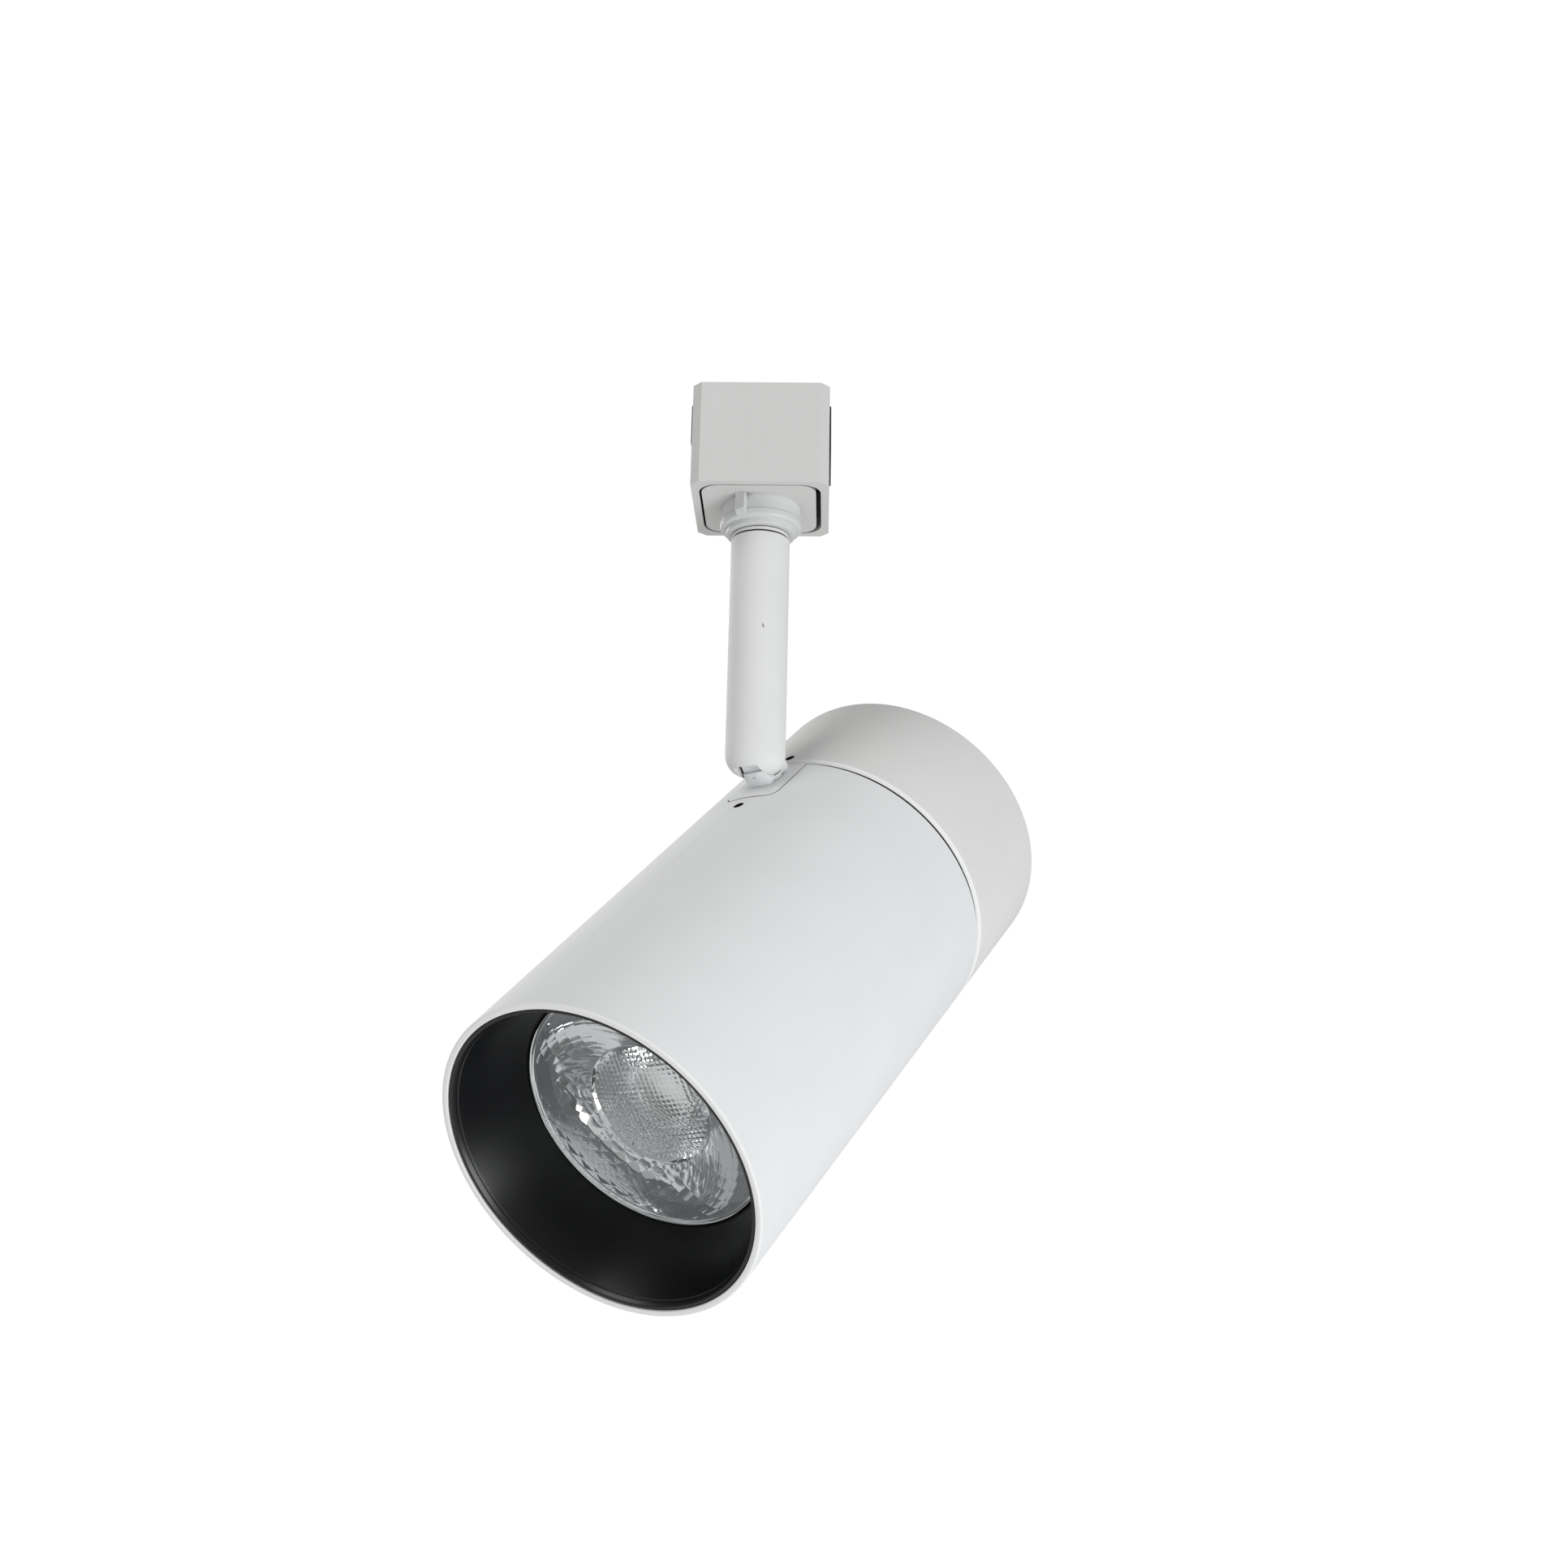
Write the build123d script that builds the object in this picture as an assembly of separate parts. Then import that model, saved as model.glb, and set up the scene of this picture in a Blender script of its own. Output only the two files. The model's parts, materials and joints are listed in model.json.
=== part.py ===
from build123d import *
import os
from math import cos, radians, sin

# Track spotlight: a box-shaped track adapter, a slim swivelling stem and a cylindrical
# lamp head on a tilting knuckle. Millimetres and degrees. The origin is the centre of
# the adapter's top face, which lies against the track; +Z is up and the adapter's
# front faces -Y. The lamp is drawn at the pan and tilt it is shown with.

# ---------------------------------------------------------------- driving dimensions
PAN = 56.2                 # heading of the lamp's rear end, from +X towards +Y
TILT = 39.48               # lamp axis below the horizontal

BOX_W, BOX_D, BOX_H = 35.1, 34.2, 27.7
BOX_CHAMFER = 2.25
BOX_WALL, BOX_TOP = 2.0, 2.2
MOUTH_CORNER, MOUTH_DEPTH = 5.0, 3.6

BASE_LOW, BASE_HIGH = -27.5, -24.5
COLLAR_R, COLLAR_LOW = 10.3, -35.3
COLLAR_NECK_R, FLANGE_FOOT, STEP_R = 6.5, -33.8, 9.0
RIB_ANGLE = 244.5          # stop rib's place round the collar
RIB_OUT, RIB_HALF = 11.9, 1.3
SWIVEL_R = 5.0             # hollow pan bolt
RUNNING = 0.05             # radial clearance of the two turning joints

STEM_R, STEM_BORE_R = 7.6, 6.1
STEM_TOP, STEM_LOW = -36.75, -100.2
STEM_NOSE = 5.5            # rounding of the stem's lower end
SLOT_HALF = 3.75           # half width of the slot for the knuckle
SLOT_FRONT_R = 5.55        # round front wall of that slot
PIN_R = 2.0
BARREL_R = 5.2             # round top of the knuckle's tongue

BODY_R, BODY_LEN = 40.0, 156.6
BODY_WALL = 2.0
SEAM_AT, SEAM_GAP, SEAM_BEVEL = 117.3, 1.6, 0.8
PIVOT_RISE = 8.6           # tilt axis above the lamp's surface
PIVOT_Z = -92.67
PIVOT_S = 109.59           # tilt axis behind the front rim
PLATE_FRONT, PLATE_HALF, PLATE_CORNER = 98.4, 7.65, 3.5
PLATE_RECESS = 0.3
FRONT_HOLE_S, REAR_HOLE_S, SET_HOLE_R = 94.2, 122.0, 1.3

LENS_S, LENS_R = 20.0, 30.4
BASE_S = 46.0              # front face of the heat sink
CHASSIS_R, CHASSIS_WALL = 37.85, 3.5
CHASSIS_FRONT, CHASSIS_REAR = 86.0, 130.0
PAD_Z = 32.5               # flat seat inside the chassis under the knuckle
LEAD_R, LEAD_GAP = 0.8, 1.1

STEM_PLACE = Rot(0, 0, PAN)
LAMP_PLACE = (
    Pos(0, 0, PIVOT_Z) * Rot(0, 0, PAN) * Rot(0, -TILT, 0)
    * Pos(-PIVOT_S, 0, -(BODY_R + PIVOT_RISE))
)


# ------------------------------------------------------------------- basic forms
def disc(radius, low, high, x=0, y=0):
    """Upright cylinder between two heights."""
    return Pos(x, y, (low + high) / 2) * Cylinder(radius, high - low)


def washer(outer, inner, low, high):
    """Upright ring between two heights."""
    return disc(outer, low, high) - disc(inner, low - 1, high + 1)


def block(x, y, z):
    """Box between a low and a high value on each axis."""
    middle = [(low + high) / 2 for low, high in (x, y, z)]
    return Pos(*middle) * Box(x[1] - x[0], y[1] - y[0], z[1] - z[0])


def rod(radius, start, end, y=0, z=0):
    """Cylinder along the lamp's axis."""
    return Pos((start + end) / 2, y, z) * Rot(0, 90, 0) * Cylinder(radius, end - start)


def sleeve(outer, inner, start, end):
    """Ring round the lamp's axis."""
    return rod(outer, start, end) - rod(inner, start - 1, end + 1)


def cross_pin(radius, low, high, x=0, z=0):
    """Cylinder along Y."""
    return Pos(x, (low + high) / 2, z) * Rot(90, 0, 0) * Cylinder(radius, high - low)


def turned(axis, *edges):
    """Solid turned about an axis from an outline in the XZ plane."""
    return revolve(Plane.XZ * make_face(Curve() + list(edges)), axis, 360)


def rounded_slab(width, depth, corner, low, high):
    """Upright slab with rounded corners, centred on the Z axis."""
    return extrude(Plane.XY.offset(low) * RectangleRounded(width, depth, corner), high - low)


def screw(head_r, head_h, shank_r, length, key=1.3):
    """Socket screw standing on its tip along -Z, with its head's seat at z = 0."""
    body = disc(head_r, 0, head_h) + disc(shank_r, -length, 0)
    socket = extrude(Plane.XY.offset(head_h * 0.4) * RegularPolygon(key, 6), head_h)
    return body - socket


# ------------------------------------------------------------------ track adapter
SLACK = 0.1                # gap between neighbouring pieces that don't slide
SLOT_IN, SLOT_OUT, TOP_SLOT_HALF = 3.8, 14.8, 4.8
WINDOW_LOW, WINDOW_HIGH, WINDOW_HALF = -15.4, -4.0, 13.3
INNER_CORNER = 3.0
BASE_W, BASE_D, BASE_CORNER, BASE_SHIFT = 29.1, 29.6, 4.6, -0.45
POST_X, POST_Y, POST_R = 8.8, 11.5, 2.8
POSTS = ((POST_X, POST_Y), (-POST_X, -POST_Y))
CASE_SCREW_R, CASE_SCREW_LOW = 1.25, -12.0
CASE_HOLE_R, CASE_PILOT_R = 1.4, 1.27
COUNTERSINK_R, COUNTERSINK_H = 2.7, 1.4
STOP_AT, STOP_R, STOP_TOP = 9.6, 0.9, -22.2
EARTH_Y, EARTH_THICK, EARTH_HALF = 12.5, 0.6, 2.2
EARTH_LOW, EARTH_TOP, EARTH_REACH = -11.0, 1.4, 1.9
CARRIER_HALF, CARRIER_D, CARRIER_LOW = 9.0, 6.5, -12.5
TOWER_AT, TOWER_W, TOWER_D, TOWER_TOP = 6.6, 2.4, 4.4, 5.2
CONTACT_IN, CONTACT_OUT, CONTACT_HALF = 9.05, 9.65, 2.0
CONTACT_LOW, CONTACT_TOP = -5.5, 4.6
BEAD_R, BEAD_Z = 0.55, 3.7
SPRING_Z, SPRING_OUT, SPRING_IN = -10.0, 2.3, 1.7


def adapter_shell():
    """Moulded box, open below, with latch windows, contact slots and screw holes."""
    half_w, half_d = BOX_W / 2, BOX_D / 2
    shell = block((-half_w, half_w), (-half_d, half_d), (-BOX_H, 0))
    shell = chamfer(shell.edges().filter_by(Axis.Z), BOX_CHAMFER)
    inner_w, inner_d = BOX_W - 2 * BOX_WALL, BOX_D - 2 * BOX_WALL
    shell -= rounded_slab(inner_w, inner_d, MOUTH_CORNER, -BOX_H - 1, -BOX_H + MOUTH_DEPTH)
    shell -= rounded_slab(inner_w, inner_d, INNER_CORNER, -BOX_H + MOUTH_DEPTH - 0.1, -BOX_TOP)
    for side in (-1, 1):
        outward = sorted((side * LATCH_IN, side * (half_w + 1)))
        shell -= block(outward, (-WINDOW_HALF, WINDOW_HALF), (WINDOW_LOW, WINDOW_HIGH))
        slot = sorted((side * SLOT_IN, side * SLOT_OUT))
        shell -= block(slot, (-TOP_SLOT_HALF, TOP_SLOT_HALF), (-BOX_TOP - 1, 1))
    earth_slot = (EARTH_Y - EARTH_THICK, EARTH_Y + EARTH_REACH + 0.3)
    shell -= block((-EARTH_HALF - 0.4, EARTH_HALF + 0.4), earth_slot, (-BOX_TOP - 1, 1))
    for x, y in POSTS:
        shell -= disc(CASE_HOLE_R, -BOX_TOP - 1, 1, x, y)
        shell -= Pos(x, y, -COUNTERSINK_H / 2) * Cone(CASE_HOLE_R, COUNTERSINK_R, COUNTERSINK_H)
    return shell


def adapter_base():
    """Insert plate that closes the box, with two screw posts and the pan stop."""
    plate = Pos(BASE_SHIFT, 0, 0) * rounded_slab(BASE_W, BASE_D, BASE_CORNER, BASE_LOW, BASE_HIGH)
    for x, y in POSTS:
        plate += disc(POST_R, BASE_HIGH, -BOX_TOP - SLACK, x, y)
        plate -= disc(CASE_PILOT_R, CASE_SCREW_LOW - 1, 0, x, y)
    plate -= disc(COLLAR_NECK_R + 0.02, BASE_LOW - 1, BASE_HIGH + 1)
    stop = Rot(0, 0, PAN + 180) * disc(STOP_R, BASE_HIGH - 1, STOP_TOP, STOP_AT)
    return plate + stop


def adapter_screws():
    """Two countersunk screws that hold the insert plate from above."""
    screws = []
    for x, y in POSTS:
        head_h = COUNTERSINK_H - SLACK
        head = Pos(x, y, -SLACK - head_h / 2) * Cone(1.2, COUNTERSINK_R - 0.15, head_h)
        shank = disc(CASE_SCREW_R, CASE_SCREW_LOW, -0.8, x, y)
        cross = block((x - 1.4, x + 1.4), (y - 0.25, y + 0.25), (-0.7, 0))
        screws.append(head + shank - cross)
    return Compound(screws)


def contact_carrier():
    """Moulded block whose two towers stand out of the top face into the track."""
    low, high = CARRIER_LOW, -BOX_TOP - SLACK
    carrier = block((-CARRIER_HALF, CARRIER_HALF), (-CARRIER_D, CARRIER_D), (low, high))
    for side in (-1, 1):
        tower = block((-TOWER_W, TOWER_W), (-TOWER_D, TOWER_D), (high - SLACK, TOWER_TOP))
        tower = chamfer(tower.edges().group_by(Axis.Z)[-1], 0.6)
        carrier += Pos(side * TOWER_AT, 0, 0) * tower
    return carrier


def line_contact(side):
    """Sprung contact strip on the outer side of a tower, with its rubbing bead."""
    width = (-CONTACT_HALF, CONTACT_HALF)
    strip = block((CONTACT_IN, CONTACT_OUT), width, (CONTACT_LOW, CONTACT_TOP))
    bead = cross_pin(BEAD_R, *width, CONTACT_OUT - 0.05, BEAD_Z)
    contact = strip + bead
    return contact if side > 0 else mirror(contact, Plane.YZ)


def earth_contact():
    """Earth strip with a short bent tip behind the towers."""
    width, front, rear = (-EARTH_HALF, EARTH_HALF), EARTH_Y - EARTH_THICK / 2, EARTH_Y + EARTH_THICK / 2
    strip = block(width, (front, rear), (EARTH_LOW, EARTH_TOP))
    tip = block(width, (front, EARTH_Y + EARTH_REACH), (EARTH_TOP - EARTH_THICK, EARTH_TOP))
    return strip + tip


TERMINAL_X, TERMINAL_Y = (-3.4, 0, 3.4), -11.8
TERMINAL_HALF, TERMINAL_BACK, TERMINAL_FRONT = 5.5, -14.7, -9.0
TERMINAL_LOW, TERMINAL_TOP = -15.0, -3.5
TERMINAL_SCREW_R, TERMINAL_SCREW_LOW = 1.25, -14.0


def terminal_block():
    """Three-way terminal block on the box's inner wall."""
    depth = (TERMINAL_BACK, TERMINAL_FRONT)
    body = block((-TERMINAL_HALF, TERMINAL_HALF), depth, (TERMINAL_LOW, TERMINAL_TOP))
    for x in TERMINAL_X:
        body -= disc(TERMINAL_SCREW_R + SLACK, TERMINAL_LOW - 1, TERMINAL_FRONT, x, TERMINAL_Y)
        body -= cross_pin(1.0, TERMINAL_Y, TERMINAL_FRONT + 1, x, -12)
    return body


def terminal_screws():
    """Clamping screws of the terminal block."""
    screws = []
    for x in TERMINAL_X:
        low = TERMINAL_SCREW_LOW
        slot = block((x - 1.3, x + 1.3), (TERMINAL_Y - 0.2, TERMINAL_Y + 0.2), (low - 0.2, low + 0.6))
        screws.append(disc(TERMINAL_SCREW_R, low, low + 3.5, x, TERMINAL_Y) - slot)
    return Compound(screws)


LATCH_IN, LATCH_STEP, LATCH_PROUD = 14.0, 15.4, 0.4
BUTTON_HALF, BUTTON_GAP = WINDOW_HALF - 0.3, 0.3
FLANGE_HALF, FLANGE_LOW, FLANGE_TOP = 12.0, -17.2, -2.9
HOOK_HALF, HOOK_OUT, HOOK_LOW, HOOK_TOP = 4.0, 16.8, 2.9, 5.2


def release_latch(side):
    """Side button, its retaining flange and the hook that grips the track's lip."""
    heights = (WINDOW_LOW + BUTTON_GAP, WINDOW_HIGH - BUTTON_GAP)
    button = block((LATCH_STEP - 0.8, BOX_W / 2 + LATCH_PROUD), (-BUTTON_HALF, BUTTON_HALF), heights)
    button = fillet(button.edges().group_by(Axis.X)[-1], 0.35)
    flange = block((LATCH_IN, LATCH_STEP), (-FLANGE_HALF, FLANGE_HALF), (FLANGE_LOW, FLANGE_TOP))
    neck = block((LATCH_IN - 1.4, LATCH_IN + 0.4), (-HOOK_HALF, HOOK_HALF), (-6, HOOK_TOP))
    beak = make_face(Polyline(
        (13, HOOK_LOW), (HOOK_OUT, HOOK_LOW), (HOOK_OUT, HOOK_LOW + 0.5),
        (LATCH_IN + 0.4, HOOK_TOP), (13, HOOK_TOP), close=True))
    hook = extrude(Plane.XZ.offset(-HOOK_HALF) * beak, 2 * HOOK_HALF)
    latch = button + flange + neck + hook
    latch -= rod(SPRING_OUT + 0.3, LATCH_IN - 0.1, LATCH_IN + 2.6, 0, SPRING_Z)
    return latch if side > 0 else mirror(latch, Plane.YZ)


def latch_springs():
    """Two coil springs, drawn as tubes, that push the latches outwards."""
    springs = []
    for side in (-1, 1):
        low, high = sorted((side * (CARRIER_HALF + 0.05), side * (LATCH_IN - 0.1)))
        hollow = rod(SPRING_IN, low - 1, high + 1, 0, SPRING_Z)
        springs.append(rod(SPRING_OUT, low, high, 0, SPRING_Z) - hollow)
    return Compound(springs)


def swivel_collar():
    """Collar under the box that carries the pan bolt, with its flange and stop rib."""
    bore, neck = SWIVEL_R + RUNNING, COLLAR_NECK_R
    flange_r, flange_low = COLLAR_R + 0.3, FLANGE_FOOT
    body = turned(
        Axis.Z,
        Polyline((bore, COLLAR_LOW), (bore, BASE_HIGH), (neck, BASE_HIGH), (neck, BASE_LOW),
                 (COLLAR_R, BASE_LOW), (COLLAR_R, flange_low + 2.3), (flange_r, flange_low + 1.9),
                 (flange_r, flange_low + 1.0)),
        ThreePointArc((flange_r, flange_low + 1.0), (flange_r - 0.3, flange_low + 0.3),
                      (flange_r - 1.0, flange_low)),
        Polyline((flange_r - 1.0, flange_low), (STEP_R, flange_low), (STEP_R, COLLAR_LOW + 0.3),
                 (STEP_R - 0.3, COLLAR_LOW), (bore, COLLAR_LOW)),
    )
    rib_foot = flange_low + 0.4
    side_view = make_face(Polyline(
        (STEP_R, BASE_LOW), (RIB_OUT, BASE_LOW), (RIB_OUT, rib_foot + 1.1), (RIB_OUT - 1, rib_foot),
        (STEP_R, rib_foot), close=True))
    rib = extrude(Plane.XZ.offset(-RIB_HALF) * side_view, 2 * RIB_HALF)
    rib = fillet(rib.edges().filter_by(Axis.Z).group_by(Axis.X)[-1], 0.35)
    return body + Rot(0, 0, RIB_ANGLE) * rib


# -------------------------------------------------------------------------- stem
BORE_END, LEAD_WAY_R, LEAD_WAY_END = -79.0, 2.5, -90.0
SLOT_ROOF = PIVOT_Z + 5.8
SCREW_SEAT, SCREW_HEAD_R, SCREW_TIP = 5.25, 3.2, -6.3
SHOULDER = 0.3             # keeps the thrust washer clear of the stem's edge
BOLT_END, BOLT_TOP, BOLT_BORE = -48.0, -17.5, 3.5
SPRING_WASHER_TOP, STOP_WASHER_TOP = -23.7, -22.8
NUT_H, NUT_FLAT = 3.2, 7.0


def stem():
    """Round tube with a rounded, slotted nose that straddles the knuckle."""
    tube = disc(STEM_R, STEM_LOW, STEM_TOP)
    tube = fillet(tube.edges().group_by(Axis.Z)[0], STEM_NOSE)
    tube = chamfer(tube.edges().group_by(Axis.Z)[-1], 0.3)
    tube -= disc(STEM_BORE_R, BORE_END, STEM_TOP + 1)
    tube -= disc(LEAD_WAY_R, LEAD_WAY_END, BORE_END + 1)
    width = (-SLOT_HALF, SLOT_HALF)
    slab = block((-STEM_R, STEM_R), width, (STEM_LOW - 1, SLOT_ROOF))
    tube -= disc(SLOT_FRONT_R, STEM_LOW - 1, SLOT_ROOF) & slab
    tube -= block((0, STEM_R + 1), width, (STEM_LOW - 1, SLOT_ROOF + 0.5))
    tube -= cross_pin(BARREL_R + 0.4, *width, 0, PIVOT_Z)
    tube -= cross_pin(PIN_R + 0.02, SCREW_TIP - SLACK, STEM_R + 1, 0, PIVOT_Z)
    tube -= cross_pin(SCREW_HEAD_R + SLACK, SCREW_SEAT - 0.05, STEM_R + 1, 0, PIVOT_Z)
    return tube


def stem_plug():
    """Threaded bush pressed into the stem's top, with a thin locating shoulder."""
    shoulder = washer(STEM_BORE_R + 0.5, SWIVEL_R + 0.02, STEM_TOP, STEM_TOP + SHOULDER)
    return shoulder + washer(STEM_BORE_R - 0.03, SWIVEL_R + 0.02, BOLT_END, STEM_TOP)


def thrust_washer():
    """White bearing ring between the collar and the stem."""
    return washer(STEM_R - 0.25, SWIVEL_R + RUNNING, STEM_TOP + SHOULDER, COLLAR_LOW - SLACK)


def swivel_bolt():
    """Hollow bolt that joins stem and adapter and carries the leads."""
    return washer(SWIVEL_R, BOLT_BORE, BOLT_END, BOLT_TOP)


def spring_washer():
    """Friction washer on the collar's top."""
    return washer(8.0, SWIVEL_R + RUNNING, BASE_HIGH + SLACK, SPRING_WASHER_TOP)


def stop_washer():
    """Keyed washer whose tab meets the stop post at either end of the pan."""
    low, high = SPRING_WASHER_TOP + SLACK, STOP_WASHER_TOP
    tab = block((7.0, STOP_AT + 0.8), (-1.2, 1.2), (low, high))
    return washer(7.5, SWIVEL_R + RUNNING, low, high) + tab


def swivel_nut():
    """Thin hexagon nut on the swivel bolt."""
    seat = STOP_WASHER_TOP + SLACK
    nut = extrude(Plane.XY.offset(seat) * RegularPolygon(NUT_FLAT, 6, major_radius=False), NUT_H)
    return nut - disc(SWIVEL_R + 0.02, seat - 1, seat + NUT_H + 1)


def hinge_screw():
    """Shouldered tilt screw, entered from the far side into a blind hole."""
    shank = cross_pin(PIN_R, SCREW_TIP, SCREW_SEAT + 0.05, 0, PIVOT_Z)
    head = cross_pin(SCREW_HEAD_R, SCREW_SEAT, 6.8, 0, PIVOT_Z)
    socket = extrude(Plane.XZ.offset(-7) * Pos(0, PIVOT_Z) * RegularPolygon(1.3, 6), 1.1)
    return shank + head - socket


def stem_leads():
    """Three insulated conductors in the stem's bore."""
    leads = []
    for turn in (0, 120, 240):
        leads.append(Rot(0, 0, turn + 60) * disc(LEAD_R, LEAD_WAY_END + 3.5, BOLT_TOP + 0.5, 1.3))
    return Compound(leads)


# -------------------------------------------------------------- lamp: tilt mounting
PLATE_OUT, PLATE_IN, PLATE_GAP = BODY_R - PLATE_RECESS, CHASSIS_R + 0.05, 0.25
PLATE_SCREWS = ((101.0, -4.5), (101.0, 4.5))
PLATE_SCREW_R, PLATE_SCREW_L = 1.25, 6.4
FOOT_FRONT, FOOT_REAR, FOOT_HALF, FOOT_TOP = -5.2, 5.4, 3.5, 3.9
FOOT_R, FOOT_R_AT = 6.5, 1.3
TONGUE_HALF, TONGUE_FRONT = 3.1, -4.2
SPIGOT_R, SPIGOT_BORE, SPIGOT_END = 4.0, 2.2, 28.5
CLAMP_NUT_H, CLAMP_NUT_FLAT = 3.2, 6.0
TILT_WASHER_R, TILT_WASHER_H = 4.5, 0.5


def notch_outline(gap):
    """U-shaped opening at the top of the housing, less a gap all round, cut upwards."""
    front, half = PLATE_FRONT + gap, PLATE_HALF - gap
    length = 2 * (SEAM_AT - PLATE_FRONT)
    outline = Pos(front + length / 2, 0) * RectangleRounded(length, 2 * half, PLATE_CORNER - gap)
    return extrude(Plane.XY.offset(20) * outline, 30)


def mount_plate():
    """Curved plate in the housing's notch that the knuckle stands on."""
    skin = sleeve(PLATE_OUT, PLATE_IN, PLATE_FRONT, SEAM_AT)
    plate = skin & notch_outline(PLATE_GAP)
    plate -= disc(SPIGOT_R + SLACK, PAD_Z, BODY_R + 1, PIVOT_S)
    for x, y in PLATE_SCREWS:
        plate -= disc(PLATE_SCREW_R + 0.02, PAD_Z, BODY_R - 1, x, y)
    return plate


def plate_screws():
    """Two screws that hold the plate from inside the chassis."""
    upright = Rot(180, 0, 0) * screw(2.2, 1.6, PLATE_SCREW_R, PLATE_SCREW_L, 0.8)
    return Compound([Pos(x, y, PAD_Z) * upright for x, y in PLATE_SCREWS])


def knuckle():
    """Tilt block: foot on the plate, ledge, tongue with its barrel and a hollow spigot."""
    pivot_z = BODY_R + PIVOT_RISE
    foot_l, foot_mid = FOOT_REAR - FOOT_FRONT, (FOOT_FRONT + FOOT_REAR) / 2
    foot_plan = Pos(foot_mid, 0) * Rectangle(foot_l, 2 * FOOT_HALF) & Pos(FOOT_R_AT, 0) * Circle(FOOT_R)
    foot_plan = fillet(foot_plan.vertices(), 0.7)
    foot = Pos(PIVOT_S, 0, BODY_R - 2) * extrude(foot_plan, FOOT_TOP + 2)
    foot -= rod(PLATE_OUT + 0.02, PIVOT_S - 12, PIVOT_S + 12)
    width = (-TONGUE_HALF, TONGUE_HALF)
    tongue = block((PIVOT_S + TONGUE_FRONT, PIVOT_S + BARREL_R), width, (BODY_R + 2, pivot_z))
    barrel = cross_pin(BARREL_R, *width, PIVOT_S, pivot_z)
    body = foot + tongue + barrel + disc(SPIGOT_R, SPIGOT_END, BODY_R + 1, PIVOT_S)
    body -= cross_pin(PIN_R + RUNNING, -5, 5, PIVOT_S, pivot_z)
    body -= disc(SPIGOT_BORE, SPIGOT_END - 1, BODY_R + 2, PIVOT_S)
    lead_way_r, lead_way_at = SPIGOT_BORE / 2, 3.4
    body -= disc(lead_way_r, BODY_R, pivot_z + 6, PIVOT_S + lead_way_at)
    body -= block((PIVOT_S, PIVOT_S + lead_way_at + lead_way_r), (-lead_way_r, lead_way_r),
                  (BODY_R - 0.2, BODY_R + 2))
    mark_front, mark_z = PIVOT_S + FOOT_FRONT, BODY_R + 2.5
    body -= block((mark_front - 1, mark_front + 0.2), (-0.45, 0.45), (mark_z, mark_z + 0.25))
    return body


def knuckle_nut():
    """Thin nut that clamps the knuckle to the chassis."""
    hexagon = RegularPolygon(CLAMP_NUT_FLAT, 6, major_radius=False, rotation=30)
    nut = extrude(Plane.XY.offset(PAD_Z - CLAMP_NUT_H) * Pos(PIVOT_S, 0) * hexagon, CLAMP_NUT_H)
    return nut - disc(SPIGOT_R + 0.02, PAD_Z - CLAMP_NUT_H - 1, PAD_Z + 1, PIVOT_S)


def tilt_washers():
    """Friction discs on both faces of the tongue."""
    pivot_z = BODY_R + PIVOT_RISE
    discs = []
    for side in (-1, 1):
        inner = TONGUE_HALF + 0.02
        low, high = sorted((side * inner, side * (inner + TILT_WASHER_H)))
        ring = cross_pin(TILT_WASHER_R, low, high, PIVOT_S, pivot_z)
        discs.append(ring - cross_pin(PIN_R + RUNNING, -5, 5, PIVOT_S, pivot_z))
    return Compound(discs)


# ------------------------------------------------------------------ lamp: casings
RIM_ROUND, BACK_ROUND = 0.5, 0.8
REBATE_R, REBATE_DEPTH = BODY_R - 1.55, 2.3
BACK_WALL = 2.4


def front_housing():
    """Front tube of the lamp, with a rebate for the baffle and the plate's notch."""
    tube = sleeve(BODY_R, BODY_R - BODY_WALL, 0, SEAM_AT)
    tube = fillet(tube.edges().group_by(Axis.X)[0].sort_by(SortBy.LENGTH)[-1], RIM_ROUND)
    tube -= rod(REBATE_R, -1, REBATE_DEPTH)
    tube -= notch_outline(0)
    return tube - disc(SET_HOLE_R, PAD_Z, BODY_R + 1, FRONT_HOLE_S)


def rear_cap():
    """Closed rear shell of the lamp, bevelled where it meets the front tube."""
    start = SEAM_AT + SEAM_GAP
    cap = rod(BODY_R, start, BODY_LEN)
    cap = fillet(cap.edges().group_by(Axis.X)[-1], BACK_ROUND)
    cap = chamfer(cap.edges().group_by(Axis.X)[0], SEAM_BEVEL)
    cap -= rod(BODY_R - BODY_WALL, start - 1, BODY_LEN - BACK_WALL)
    return cap - disc(SET_HOLE_R, PAD_Z, BODY_R + 1, REAR_HOLE_S)


def seam_gasket():
    """Dark ring at the bottom of the seam."""
    start, end = SEAM_AT + 0.02, SEAM_AT + SEAM_GAP - 0.02
    return sleeve(BODY_R - SEAM_BEVEL, CHASSIS_R + 0.05, start, end)


SINK_SCREW_AT, SINK_SCREW_R = 29.0, 1.5
SINK_SCREW_ANGLES = (90, 210, 330)
TRAY_SCREWS, TRAY_SCREW_R = ((-12, -27.6), (12, -27.6)), 1.25
WEB_IN, WEB_H = 21.0, 3.0
PAD_LOW_S, PAD_HIGH_S, PAD_HALF, PAD_TOP = 98.0, 119.0, 8.0, 36.5
GRUB_R, GRUB_LOW, GRUB_TOP, GRUB_KEY = 1.5, 34.0, 37.6, 0.85


def on_circle(radius, angle):
    """Point on a circle about the lamp's axis."""
    return radius * cos(radians(angle)), radius * sin(radians(angle))


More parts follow.
